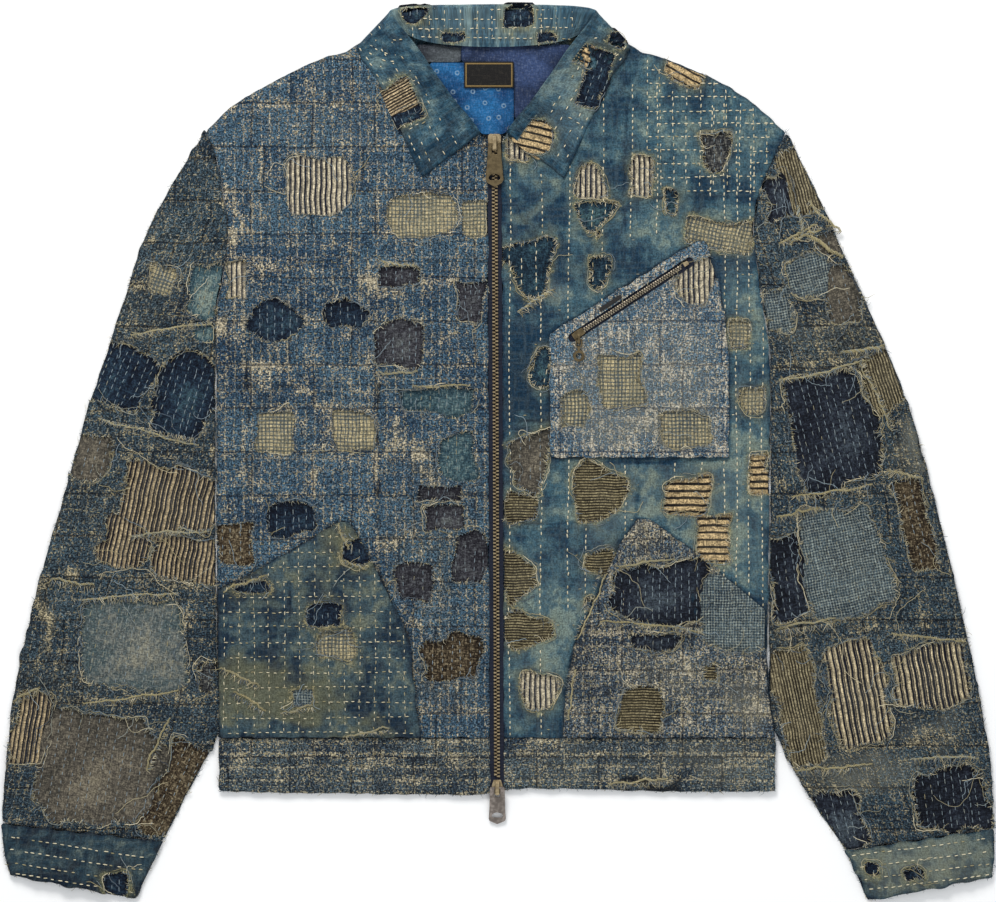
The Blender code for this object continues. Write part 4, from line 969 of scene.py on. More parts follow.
def make_collar():
    grid = collar_grid.copy()
    rows, columns = grid.shape[:2]
    across = np.linspace(0.0, 1.0, columns)[None, :] * np.ones((rows, 1))
    on_fall = across > 0.42
    x, y = grid[..., 0], grid[..., 1]
    rib = 0.35 * puckers(x, y, 8.0, 41) + 0.4 * puckers(x, y, 26.0, 42)
    rim = np.minimum(np.linspace(0, rows - 1, rows)[:, None], np.linspace(rows - 1, 0, rows)[:, None])
    rim = np.minimum(rim * 3.0, (columns - 1 - np.arange(columns))[None, :] * 1.5)
    grid[..., 2] += 1.1 + rib - 1.9 * rolled(rim, 3.0)
    torn = np.full(x.shape, -40.0)
    for row in windows_of("CO") + windows_of("CS"):
        part = on_fall if row[0] == "CO" else (across < 0.34) & (y > 370.0)
        torn[part] = np.maximum(torn[part], in_window(row, x[part], y[part]))
    near = np.clip(-torn, 0.0, 40.0)
    grid[..., 2] += 0.4 * hill(near - 3.0, 2.2) - 0.5 * np.exp(-near / 0.9)
    grid[..., 2] = np.maximum(grid[..., 2], 0.2)
    cream, shade, brown = wear_at("CO", x, y)
    # painted shade along the collar's rolled rim
    shade = shade - 0.8 * np.exp(-rim / 1.6)
    cream = cream + 0.5 * hill(rim - 4.5, 2.2)
    run, reach = run_along(collar_grid[:, columns // 2]), run_along(collar_grid[rows // 4])
    flat = np.stack([run[:, None] + 0.0 * across, reach[None, :] + 0.0 * across], -1)
    data = {"flat": flat, "fray": np.exp(-near / 6.0), "cream": cream, "shade": shade, "brown": brown}
    points, faces, values, edges = cut_sheet(grid, -torn, data)
    obj = make_mesh("collar_cloth", points, faces, values.pop("flat"), values)
    panels["CO"] = {"obj": obj, "edges": points[edges], "rows": windows_of("CO"), "place": straight_place}
    print("collar", len(faces), "faces")
    return obj


def collar_nearest(x, y, stand=False):
    """Height of the collar's outside over a place, and how far off its nearest point is."""
    half = collar_grid.shape[1]
    part = collar_grid[:, :int(half * 0.36)] if stand else collar_grid[:, int(half * 0.40):]
    spots = part.reshape(-1, 3)
    x, y = np.atleast_1d(x), np.atleast_1d(y)
    shape = x.shape
    far = (x.ravel()[:, None] - spots[:, 0]) ** 2 + (y.ravel()[:, None] - spots[:, 1]) ** 2
    return spots[far.argmin(1), 2].reshape(shape) + 1.1, np.sqrt(far.min(1)).reshape(shape)


collar = make_collar()

# %% [markdown]
# ## Lining and label
# Inside the neck a bright printed lining shows, with a violet piece and a grey-brown strip
# behind it. The woven label is left bare: it keeps its border, and nothing is written on it.

# %% Lining and label
def lining_top(x, y):
    return back_top(x, y) + LAY + 1.0


def make_lining(name, points, lift=0.0, step=3.0):
    """Flat piece inside the neck, on the back."""
    outline = ring_points(close_run(points + [points[0]]))[:-1]
    rim = np.vstack([outline, outline[:1]])

    def top(x, y):
        return (lining_top(x, y) + lift + 0.5 * puckers(x, y, 22.0, 51)
                - 0.5 * rolled(line_distance(x, y, rim), 1.2))
    return lay_cloth(name, name, outline, top, step, straight_place, None, 0.0)


# corners of each piece: x, y
lining_blue = make_lining("lining_cloth_blue", read_table("""
-15 299; -27 313.5; -40 328.5; -51.5 344; -63.5 361; -67 366; -20 366; -20 357.5; 14.8 357.5
14.8 310; 5.5 299"""))
lining_violet = make_lining("lining_cloth_violet", read_table("""
15.4 310.5; 18 313.5; 31 328.5; 42.5 344; 54.5 361; 66 378; 70 383; -34.4 383; -34.4 366.8
-19.4 366.8; -19.4 358; 15.4 358"""))
lining_grey = make_lining("lining_cloth_grey", read_table("""
-67 366.6; -35 366.6; -35 383; -79 383; -75 378"""))
neck_label = make_lining("label_cloth", read_table("-32 342; 15 342; 15 367; -32 367"), 1.5, 1.5)

# %% [markdown]
# ## Old cloths behind the windows
# Every window has its own piece of cloth sewn in behind it, a little larger than the tear. It
# follows the panel's surface just below it. Its stripes or checks are laid out in the piece's
# own directions, so that each piece turns its own way, as scraps do.

# %% Patches
PATCH_DEPTH = 1.15
patch_pieces = {}           # panel and cloth: its patches; CAD patch: its own piece


def collar_under(x, y):
    return collar_nearest(x, y)[0]


def stand_under(x, y):
    return collar_nearest(x, y, True)[0]


def surface_of(panel):
    """Height of a panel's outside. The collar has two: its leaves and its back band."""
    return {"CO": collar_under, "CS": stand_under}.get(panel) or panels[panel]["top"]


def patch_margin(row):
    """How far a patch reaches past its window on every side."""
    return 5.0 + row[8] + 0.1 * min(row[4], row[5])


def patch_depth(index):
    """Neighbours lie at four depths, so that patches that overlap don't share a surface."""
    return PATCH_DEPTH + 0.13 * (index % 4)


print("the first window's patch reaches", round(patch_margin(WINDOWS[0]), 1), "mm past it")


# %% One patch
def make_patch(row, index):
    """Lattice of one patch, in the patch's own directions."""
    panel, _, cx, cy, wide, long, turn = row[:7]
    step = 2.6
    margin = patch_margin(row)
    u, v = np.meshgrid(np.arange(-wide / 2.0 - margin, wide / 2.0 + margin + step, step),
                       np.arange(-long / 2.0 - margin, long / 2.0 + margin + step, step))
    cos, sin = math.cos(math.radians(turn)), math.sin(math.radians(turn))
    x, y = cx + u * cos - v * sin, cy + u * sin + v * cos
    outline = panels.get(panel, {}).get("outline")
    z = surface_of(panel)(x, y) - patch_depth(index) + 0.12 * puckers(x, y, 9.0, index)
    keep = np.minimum(wide / 2.0 + margin - np.abs(u), long / 2.0 + margin - np.abs(v)) + 0.05
    if outline is not None:
        keep = np.minimum(keep, inside_by(x, y, outline) - 1.2)
    far = in_window(row, x, y)
    if panel in ("CO", "CS"):
        keep = np.minimum(keep, 2.2 - collar_nearest(x, y, panel == "CS")[1])
        keep = np.minimum(keep, far + 4.0)
        z = np.maximum(z, 0.3)
    for other in windows_of(panel):
        if other is not row and math.dist(other[2:4], (cx, cy)) < 150.0:
            beyond = in_window(other, x, y)
            keep = np.minimum(keep, np.where(beyond > -4.0, 1.5 - (beyond - far), 9.0))
    pale = np.exp(-((u - wide * 0.08) / (0.32 * wide)) ** 2 - ((v + long * 0.1) / (0.3 * long)) ** 2)
    shadow = (0.6 + 0.5 * clamp(v / long, -0.5, 0.5)) * np.exp(-np.clip(far, 0, 30) / 2.4)
    dice = np.random.default_rng(index)
    data = {"flat": np.stack([u, v], -1) + dice.uniform(100, 900, 2),
            "fray": 0.0 * u, "cream": 0.0 * u + dice.uniform(-0.2, 0.2),
            "shade": pale * dice.uniform(0.0, 0.7) - shadow + dice.uniform(-0.15, 0.15),
            "brown": 0.0 * u + dice.uniform(-0.1, 0.2)}
    return cut_sheet(np.stack([x, y, z], -1), keep, data)


patches = [make_patch(row, index) for index, row in enumerate(WINDOWS)]
print(len(patches), "patches of", sum(len(faces) for _, faces, _, _ in patches), "faces")


# %% Joining patches
def join_sheets(name, sheets):
    """One mesh from several cut sheets."""
    points, faces, start = [], [], 0
    for p, f, _, _ in sheets:
        faces += [np.asarray(face) + start for face in f]
        points.append(p)
        start += len(p)
    values = {k: np.concatenate([s[2][k] for s in sheets]) for k in sheets[0][2]}
    return make_mesh(name, np.concatenate(points), faces, values.pop("flat"), values)


CLOTH_NAMES = {"ticking": "ticking", "tickingh": "ticking", "gingham": "check", "finecheck": "check",
               "navy": "navy", "charcoal": "charcoal", "grey": "grey", "teal": "teal",
               "brown": "brown", "pinstripe": "khaki", "seagreen": "teal"}
groups = {}
for row, patch in zip(WINDOWS, patches):
    key = row[9] + "_cloth" if row[9] else "mends_" + row[0] + "_" + row[1]
    groups.setdefault(key, []).append((row, patch))
for key, members in groups.items():
    patch_pieces[key] = (join_sheets(key, [sheet for _, sheet in members]), members[0][0])
print("joined into", len(patch_pieces), "pieces")


# %% [markdown]
# ## Yarn
# Stitches, frayed ends and loose threads are all yarn. Each is a thin tube with three or four
# sides, swept along a short path, which costs few triangles. All paths with the same number of
# points are swept at once. Each yarn has one tint from 0, indigo, to 1, pale cream.

# %% Sweeping yarn
yarns = {}                  # object: meshes of yarn that are joined for it


def unit(vectors, least=0.0):
    return vectors / (np.linalg.norm(vectors, axis=-1, keepdims=True) + least)


def sweep(paths, radii, tints, sides=3):
    """Tubes along many paths: (count, points, 3) with radii (count, points)."""
    paths, radii = np.asarray(paths, float), np.asarray(radii, float)
    count, length = paths.shape[:2]
    along = unit(np.gradient(paths, axis=1), 1e-9)
    across = unit(np.cross(along, [0.0, 0.0, 1.0]), 1e-9)
    upward = np.cross(across, along)
    rings = []
    for k in range(sides):
        angle = 2.0 * math.pi * k / sides + math.pi / 2.0
        rings.append(paths + radii[..., None] * (math.cos(angle) * across + math.sin(angle) * upward))
    points = np.stack(rings, 2).reshape(-1, 3)
    start = np.arange(count)[:, None, None] * length * sides
    step = np.arange(length - 1)[None, :, None] * sides
    side = np.arange(sides)[None, None, :]
    after = (side + 1) % sides
    a, b = start + step + side, start + step + after
    faces = np.stack([a, b, b + sides, a + sides], -1).reshape(-1, 4)
    tint = np.repeat(np.asarray(tints, float), length * sides)
    return points, faces, tint


def spin(name, plan, z, radii, tints, sides=3):
    """Sweeps yarn and keeps it under the name of the piece it will be joined into."""
    paths = np.concatenate([plan, z[..., None]], -1)
    yarns.setdefault(name, []).append(sweep(paths, radii, tints, sides))


def yarn_triangles():
    return 2 * sum(len(faces) for made in yarns.values() for _, faces, _ in made)


def make_yarn(name):
    points, faces, tints, start = [], [], [], 0
    for p, f, t in yarns[name]:
        points.append(p)
        faces.append(f + start)
        tints.append(t)
        start += len(p)
    return make_mesh(name, np.concatenate(points), list(np.concatenate(faces)), None,
                     {"tint": np.concatenate(tints)})


trial = sweep([[(k, 0.0, 0.0) for k in range(4)]], np.ones((1, 4)), [0.5])
print("one stitch takes", 2 * len(trial[1]), "triangles")

# %% [markdown]
# ## Running stitches
# Sashiko is rows of running stitches: a short stitch on top, a gap where the thread dives
# under, and so on. No two hand stitches are the same length, and worn ones have sunk in. One
# table gives single rows of thick cream stitches; the other fills areas with finer grids.

# %% Rows of stitches
def stitch_along(panel, lines, pitch, long, thick, tint, seed, skip=0.06, lift=0.0, bounds=None):
    """Running stitches along straight lines on a panel, each line being x, y, x, y."""
    dice = np.random.default_rng(seed)
    starts, ways, lengths = [], [], []
    for ax, ay, bx, by in lines:
        run = math.hypot(bx - ax, by - ay)
        at = np.arange(dice.uniform(0, pitch), run - long, pitch)
        at = at + dice.normal(0.0, 0.07 * pitch, len(at))
        at = at[dice.random(len(at)) > skip]
        way = np.array([bx - ax, by - ay]) / run
        side = np.array([-way[1], way[0]])
        wobble = 0.8 * np.sin(at / 37.0 + dice.uniform(0, 6)) + dice.normal(0, 0.18, len(at))
        starts.append(np.array([ax, ay]) + at[:, None] * way + wobble[:, None] * side)
        turned = way + dice.normal(0.0, 0.07, (len(at), 1)) * side
        ways.append(turned)
        lengths.append(long * dice.uniform(0.75, 1.2, len(at)))
    start, way, long_each = np.concatenate(starts), np.concatenate(ways), np.concatenate(lengths)
    if bounds is not None:
        good = bounds(*(start + way * long_each[:, None] / 2.0).T)
        start, way, long_each = start[good], way[good], long_each[good]
    if not len(start):
        return
    shares = np.array([0.0, 0.22, 0.78, 1.0])
    plan = start[:, None, :] + way[:, None, :] * (long_each[:, None] * shares)[..., None]
    z = surface_of(panel)(plan[..., 0], plan[..., 1]) + lift
    z = z + thick * np.array([-0.35, 0.22, 0.22, -0.35])
    radii = thick / 2.0 * np.array([0.45, 1.0, 1.0, 0.45]) * np.ones((len(start), 1))
    tints = np.clip(tint + dice.normal(0.0, 0.07, len(start)), 0.0, 1.0)
    spin("stitches_" + panel, plan, z, radii, tints)


def clear_of_windows(panel, margin=1.0):
    rows = windows_of(panel)
    outline = panels.get(panel, {}).get("outline")

    def clear(x, y):
        good = in_any_window(rows, x, y) < -margin
        if outline is not None:
            good &= inside_by(x, y, outline) > 2.5
        return good
    return clear


print("stitches keep clear of", len(WINDOWS), "windows")


# %% Grids of stitches
def grid_rows(x0, x1, y0, y1, across, up, turn=0.0):
    """Lines of a stitch grid in a box: upright ones, and level ones if up isn't 0."""
    lines = []
    cx, cy = (x0 + x1) / 2.0, (y0 + y1) / 2.0
    cos, sin = math.cos(math.radians(turn)), math.sin(math.radians(turn))

    def spun(x, y):
        return cx + (x - cx) * cos - (y - cy) * sin, cy + (x - cx) * sin + (y - cy) * cos
    if across:
        lines += [(*spun(x, y0), *spun(x, y1)) for x in np.arange(x0, x1 + 0.1, across)]
    if up:
        lines += [(*spun(x0, y), *spun(x1, y)) for y in np.arange(y0, y1 + 0.1, up)]
    return lines


CREAM_ROWS = {              # upright rows of thick stitches on the left front: x, low y, high y
    10.5: (-268, 280), 40.0: (-268, 262), 66.0: (-150, 330), 98.0: (-60, 350), 125.0: (200, 350),
    149.0: (200, 345), 200.0: (235, 330), 212.0: (-262, 330), 224.0: (-150, 320),
    236.0: (-240, 290), 248.0: (-240, 262), 165.0: (-60, -5), 190.0: (-60, -5), 82.0: (-268, -8),
    118.0: (-268, -8)}
stitch_along("FL", [(x, low, x + 1.0, high) for x, (low, high) in CREAM_ROWS.items()],
             5.9, 3.3, 1.45, 0.98, 11, 0.05, 0.1, clear_of_windows("FL", -1.0))
# panel: box in x, box in y, gaps across and up, turn; pitch, length, thickness, tint, seed,
# share left out, lift
GRIDS = read_table("""
FL: 140 262 246 372 12.5 12.5 0 6.2 3.4 1.2 .96 12 .08 .1
16 246 -262 226 0 33 0 7.6 3 .9 .75 13 .7 0
FR: -256.2 -16 -262 380 8.4 0 0 6.2 2.8 .8 .66 14 .35 0
-262 -16 -262 380 0 22 0 6.2 2.8 .75 .72 15 .45 0
PR: -258 -76 -264 -60 14.2 14.2 0 6.8 3.4 1.05 .9 16 .06 .1
PL: 60 256 -264 -60 6.6 16 0 5.6 3 1 .72 17 .3 0
CP: 52 214 0 190 11 0 0 6 2.8 .8 .8 18 .4 0
HR: -258 -14 -314 -274 10 10 0 6.4 3 .85 .74 258 .2 0
HL: 12 256 -314 -274 10 10 0 6.4 3 .85 .74 12 .2 0
SR: -475 -255 -380 300 9 0 -17 6.8 2.8 .8 .66 19 .3 0
-475 -255 -380 300 0 19 -5.1 6.8 3 .85 .75 20 .3 0
SL: 250 475 -385 300 9 0 17 6.8 2.8 .8 .66 19 .3 0
250 475 -385 300 0 19 5.1 6.8 3 .85 .75 20 .3 0""")
for panel, *row in GRIDS:
    stitch_along(panel, grid_rows(*row[:7]), *row[7:11], int(row[11]), *row[12:], clear_of_windows(panel))
print(yarn_triangles(), "triangles of stitches on the body and sleeves")

# %% Stitches on the cuffs and collar
for panel, side in (("KR", -1.0), ("KL", 1.0)):
    lines = [(side * 464.0, -362.0 - k, side * 322.0, -382.0 - k) for k in (0.0, 12.0, 24.0, 34.0)]
    stitch_along(panel, lines, 6.8, 3.8, 1.2, 0.94, 21, 0.1, 0.1, clear_of_windows(panel))


def joined(run):
    """Lines from point to point of a run over the collar's lattice."""
    return [(*a, *b) for a, b in zip(run[:-1, :2], run[1:, :2])]


def off_collar_windows(x, y):
    return in_any_window(windows_of("CO") + windows_of("CS"), x, y) < -1.0


for column, seed in ((-4, 22), (-9, 23), (30, 24), (38, 25)):
    stitch_along("CO", joined(collar_grid[2:118:6, column]) + joined(collar_grid[214:328:6, column]),
                 6.4, 3.4, 1.25, 0.96, seed, 0.1, 0.15, off_collar_windows)
for row, seed in ((26, 26), (50, 27), (84, 28), (246, 29), (282, 30), (300, 31)):
    stitch_along("CO", joined(collar_grid[row, 26::5]), 6.2, 3.4, 1.2, 0.94, seed, 0.1, 0.15,
                 off_collar_windows)
stitch_along("CS", grid_rows(-80.0, 71.0, 389.0, 417.0, 15.0, 9.0), 6.0, 3.4, 1.2, 0.94, 32, 0.1,
             0.15, off_collar_windows)
print(yarn_triangles(), "triangles with the cuffs and the collar")

# %% [markdown]
# The scraps behind the windows have stitches of their own, in rows that run along the scrap:
# pale blue on navy and brown, cream on teal and grey. They only have to show in the window.

# %% Stitches on the scraps
SCRAP_STITCHES = {          # cloth: row gap, pitch, length, thickness, tint
    "navy": (7.0, 6.9, 4.8, 0.8, 0.5), "seagreen": (5.6, 6.8, 4.4, 0.8, 0.66),
    "brown": (8.6, 7.0, 4.0, 0.85, 0.56),
    "charcoal": (7.2, 6.6, 3.8, 0.85, 0.42), "teal": (8.4, 7.2, 4.7, 0.8, 0.62),
    "grey": (9.0, 7.2, 4.2, 0.75, 0.46), "finecheck": (9.0, 7.0, 3.2, 0.6, 0.6)}
for index, row in enumerate(WINDOWS):
    panel, cloth, cx, cy, wide, long, turn = row[:7]
    if cloth in SCRAP_STITCHES:
        gap, pitch, length, thick, tint = SCRAP_STITCHES[cloth]
        inside = clear_of_windows(panel, -1e3)
        if panel == "FL" and cloth == "navy":       # the rows of the front go on across its tears
            gap, thick, tint = 12.5, 1.2, 0.95
        lines = grid_rows(cx - wide / 2.0 + 2.0, cx + wide / 2.0, cy - long / 2.0, cy + long / 2.0,
                          gap, 0.0, turn)
        stitch_along(panel, lines, pitch, length, thick, tint, 300 + index, 0.08,
                     -patch_depth(index),
                     lambda x, y, row=row, inside=inside: (in_window(row, x, y) > 0.4) & inside(x, y))
print("stitched", sorted(yarns))

# %% [markdown]
# ## Frayed edges
# A torn edge lets go of its threads. Short ends stick out over the window, and the longest
# threads lie loose along the tear, which is why each window has a pale ragged outline.

# %% Frayed ends
FRAYING = {                 # panel: ends per mm, longest end, gap between rim threads, share of pale ones
    "FR": (1.0, 3.2, 30.0, 0.45), "FL": (1.5, 5.0, 13.0, 0.7), "PR": (0.9, 3.2, 26.0, 0.5),
    "PL": (1.4, 5.0, 14.0, 0.6), "CP": (1.0, 3.6, 22.0, 0.65), "SR": (1.2, 4.4, 19.0, 0.55),
    "SL": (1.5, 5.0, 14.0, 0.6), "KR": (0.9, 3.6, 20.0, 0.6), "KL": (0.9, 3.6, 20.0, 0.6),
    "CO": (1.0, 3.6, 24.0, 0.55)}


def tint_of(share, dice, count):
    """Tints of frayed ends: yellow-cream with some indigo ones among them."""
    return np.where(dice.random(count) < share, dice.uniform(0.6, 1.0, count),
                    dice.uniform(0.05, 0.36, count))


def fray_ends(panel):
    per_mm, longest, _, share = FRAYING[panel]
    edges = panels[panel]["edges"]
    if not len(edges):
        return
    dice = np.random.default_rng(len(edges))
    lengths = np.linalg.norm(edges[:, 1] - edges[:, 0], axis=1)
    pick = dice.choice(len(edges), int(lengths.sum() * per_mm), p=lengths / lengths.sum())
    t = dice.random(len(pick))[:, None]
    start = edges[pick, 0] * (1 - t) + edges[pick, 1] * t
    way = unit(edges[pick, 1, :2] - edges[pick, 0, :2], 1e-9)
    side = np.stack([-way[:, 1], way[:, 0]], 1)
    probe = start[:, :2] + side * 0.8
    rows = panels[panel]["rows"]
    side *= np.where(in_any_window(rows, probe[:, 0], probe[:, 1]) > 0.0, 1.0, -1.0)[:, None]
    aim = unit(side + dice.normal(0.0, 0.75, len(pick))[:, None] * way)
    long = np.clip(dice.gamma(2.0, longest / 5.0, len(pick)), 0.8, 2.2 * longest)[:, None]
    bend = dice.normal(0.0, 0.35, len(pick))[:, None] * long
    shares = np.array([-0.25, 0.45, 1.0])
    plan = (start[:, None, :2] + aim[:, None, :] * (long[:, None, :] * shares[None, :, None])
            + np.stack([-aim[:, 1], aim[:, 0]], 1)[:, None, :]
            * (bend[:, None, :] * shares[None, :, None] ** 2))
    rise = dice.uniform(-0.2, 0.9, len(pick))[:, None]
    z = start[:, 2:3] + np.array([0.3, 0.45, -0.35]) + rise * np.array([0.0, 0.9, 0.6])
    radii = dice.uniform(0.16, 0.34, len(pick))[:, None] * np.array([1.0, 1.0, 0.4])
    spin("fray_" + panel, plan, z, radii, tint_of(share, dice, len(pick)))


for panel in FRAYING:
    fray_ends(panel)
print(yarn_triangles(), "triangles with the short ends")


# %% Threads along the rims
def window_rim(row, angles):
    """Distance from a window's middle to its torn edge in each direction."""
    low, high = np.zeros(len(angles)), np.full(len(angles), 0.8 * max(row[4], row[5]) + 8.0)
    for _ in range(22):
        middle = (low + high) / 2.0
        inside = in_window(row, row[2] + middle * np.cos(angles), row[3] + middle * np.sin(angles)) > 0
        low, high = np.where(inside, middle, low), np.where(inside, high, middle)
    return low


def rim_threads(panel):
    """Loose threads that lie along the torn edges of a panel's windows."""
    top = surface_of(panel)
    outline = panels[panel].get("outline")
    _, _, gap, share = FRAYING[panel]
    for index, row in enumerate(windows_of(panel)):
        dice = np.random.default_rng(900 + index)
        around = math.pi * (row[4] + row[5]) / 2.0
        count = int(around / gap) + 1
        plans, heights, radii = [], [], []
        for _ in range(count):
            span = dice.uniform(8.0, 34.0) / (around / (2.0 * math.pi))
            angles = dice.uniform(0, 6.3) + np.linspace(0.0, span, 12)
            off = dice.normal(0.9, 1.1) + 1.3 * np.cumsum(dice.normal(0.0, 0.42, 12))
            reach = window_rim(row, angles) + off
            x, y = row[2] + reach * np.cos(angles), row[3] + reach * np.sin(angles)
            if outline is not None and (inside_by(x, y, outline) < 0.5).any():
                continue
            z = top(x, y) + np.where(off < 0.2, -0.15, 0.35) + np.abs(dice.normal(0.0, 0.35, 12))
            plans.append(np.stack([x, y], -1))
            heights.append(z)
            radii.append(dice.uniform(0.2, 0.42) * np.array([0.5] + [1.0] * 10 + [0.4]))
        if plans:
            spin("fray_" + panel, plans, np.array(heights), radii, tint_of(share, dice, len(plans)))


for panel in FRAYING:
    rim_threads(panel)
print(yarn_triangles(), "triangles with the rims' threads")


# %% Hairs along the outer edges
def edge_fuzz(panel, per_mm):
    """Short hairs and a few loops that stick out past a panel's outer edge."""
    outline = panels[panel]["outline"]
    dice = np.random.default_rng(len(outline))
    after = np.roll(outline, -1, 0)
    lengths = np.linalg.norm(after - outline, axis=1)
    count = int(lengths.sum() * per_mm)
    pick = dice.choice(len(outline), count, p=lengths / lengths.sum())
    start = outline[pick] + (after - outline)[pick] * dice.random(count)[:, None]
    way = unit((after - outline)[pick], 1e-9)
    side = np.stack([way[:, 1], -way[:, 0]], 1)
    probe = start + side
    side *= np.where(inside_by(probe[:, 0], probe[:, 1], outline) > 0.0, -1.0, 1.0)[:, None]
    aim = unit(side + dice.normal(0.0, 1.1, count)[:, None] * way)
    long = np.clip(dice.gamma(1.6, 0.9, count), 0.5, 5.0)[:, None]
    back_in = dice.random(count)[:, None] < 0.3
    shares = np.array([-0.5, 0.6, 1.0])
    turn_back = np.where(back_in, np.array([0.0, -0.2, -1.1]), 0.0)
    bend = dice.normal(0.0, 0.6, count)[:, None] * shares ** 2
    plan = (start[:, None] + aim[:, None] * (long * (shares + turn_back))[..., None]
            + way[:, None] * (long * (bend - turn_back * 0.7))[..., None])
    z = MID + dice.uniform(-0.6, 1.4, count)[:, None] + np.zeros(3)
    radii = dice.uniform(0.14, 0.3, count)[:, None] * np.array([1.0, 0.9, 0.4])
    spin("fray_" + panel, plan, z, radii, tint_of(0.4, dice, count))


for panel in ("SR", "SL", "KR", "KL", "HR", "HL"):
    edge_fuzz(panel, 0.55)
print("frayed", len(FRAYING), "panels")

# %% [markdown]
# ## Loose threads
# Longer threads have pulled out and curl over the cloth. Each is a walk whose direction keeps
# drifting. The rows give where one starts, which way it sets off, how long and how pale it is.

# %% Loose threads
def curl(panel, x, y, way, long, tint, seed, thick, points, curliness):
    """One loose thread, unless it would reach past the panel's edge."""
    dice = np.random.default_rng(seed)
    turn = np.cumsum(dice.normal(0.0, curliness, points)) + math.radians(way)
    step = long / (points - 1)
    xs = x + np.concatenate([[0.0], np.cumsum(np.cos(turn[:-1]) * step)])
    ys = y + np.concatenate([[0.0], np.cumsum(np.sin(turn[:-1]) * step)])
    outline = panels[panel].get("outline")
    if outline is not None and (inside_by(xs, ys, outline) < 1.5).any():
        return
    zs = surface_of(panel)(xs, ys) + 0.5 + 0.7 * np.abs(np.sin(np.linspace(0.0, 9.0, points) + seed))
    radii = thick / 2.0 * np.concatenate([[0.5], np.ones(points - 2), [0.4]])
    spin("fray_" + panel, [np.stack([xs, ys], -1)], zs[None], [radii], [tint])


def scatter_threads(panel, count, seed):
    """Loose threads that start at torn edges all over a panel."""
    dice = np.random.default_rng(seed)
    edges = panels[panel]["edges"]
    for k in range(count):
        start = edges[dice.integers(len(edges)), 0]
        curl(panel, start[0], start[1], dice.uniform(0, 360), dice.uniform(8.0, 34.0),
             float(np.clip(dice.normal(0.55, 0.25), 0, 1)), seed * 100 + k,
             dice.uniform(0.4, 0.75), 16, dice.uniform(0.15, 0.45))


for panel, count in (("FR", 60), ("FL", 44), ("PR", 24), ("PL", 30), ("CP", 22), ("SR", 90),
                     ("SL", 100), ("KR", 8), ("KL", 8)):
    scatter_threads(panel, count, count + 7)
# panel: x, y, way, length, tint, seed
LONG_THREADS = read_table("""
SL: 284 222 -60 60 .95 1; 300 214 -100 44 .9 2; 276 70 -120 62 .85 3; 447 -305 -94 60 .7 4
330 104 10 60 .9 5; 344 100 -40 70 .95 6; 300 -160 20 80 .9 7; 400 -130 200 70 .85 8
SR: -378 -350 -60 30 .9 9; -350 -250 -88 36 .9 10; -300 -20 160 70 .9 11; -340 -70 20 60 .8 12
-300 -135 170 90 .9 13; -420 -225 20 80 .85 14; -360 -340 30 60 .85 15
PL: 110 -110 -10 50 .85 16; 70 -180 60 60 .8 17
FL: 100 -60 40 44 .85 18""")
for panel, x, y, way, long, tint, seed in LONG_THREADS:
    curl(panel, x, y, way, long, tint, 5000 + int(seed), 0.6, 40, 0.2)
print(yarn_triangles(), "triangles with the loose threads")

# %% [markdown]
# Where a whole layer has worn through, its edge is left as a thick ledge: a loose cord of
# twisted ends with a fringe that hangs off it. Each row is one ledge, and the side it hangs to.

# %% Ledges
# panel: from x, y, to x, y, thickness, fringe
LEDGES = read_table("""
SL: 264 68 350 84 1.8 5; 276 -42 352 -30 1.6 5; 340 84 372 20 1.6 -4; 264 196 300 214 1.5 5
292 236 322 206 1.9 5; 322 94 364 99 2.2 6; 282 232 288 204 2.4 1; 288 204 325 184 2.6 1.5
274 196 304 212 2 1.5
PL: 66 -252 68 -204 1.2 -3; 74 -176 98 -112 1.2 -3
SL: 366 -18 400 -22 1.8 6; 262 -62 300 -52 1.6 6; 262 -168 318 -160 1.6 6; 370 -170 440 -176 1.6 5
280 -300 352 -296 1.7 6; 388 -288 452 -286 1.7 6
SR: -345 110 -270 124 1.6 5; -376 32 -280 12 1.6 5; -345 -78 -272 -72 1.5 5
-420 -120 -380 -128 1.7 6; -395 -138 -300 -132 1.6 6; -390 -236 -300 -226 1.6 5
-330 -300 -308 -250 1.5 4; -456 -236 -430 -222 1.5 4
PL: 96 -160 192 -166 1.5 5; 110 -106 166 -98 1.4 -4
FL: 18 132 52 156 1.5 7
FR: -112 76 -76 80 1.5 4; -80 62 -26 64 1.4 4; -112 180 -76 178 1.6 4
HL: 104 -312 160 -310 1.6 5
PR: -249 -226 -219 -245 1.4 5; -261 -203 -224 -221 1.4 5; -205 -245 -174 -240 1.3 4
-146 -268 -102 -261 1.4 4; -150 -67 -136 -89 1.6 5; -146 -103 -123 -106 1.4 4
-258 -132 -216 -118 1.4 -4""")
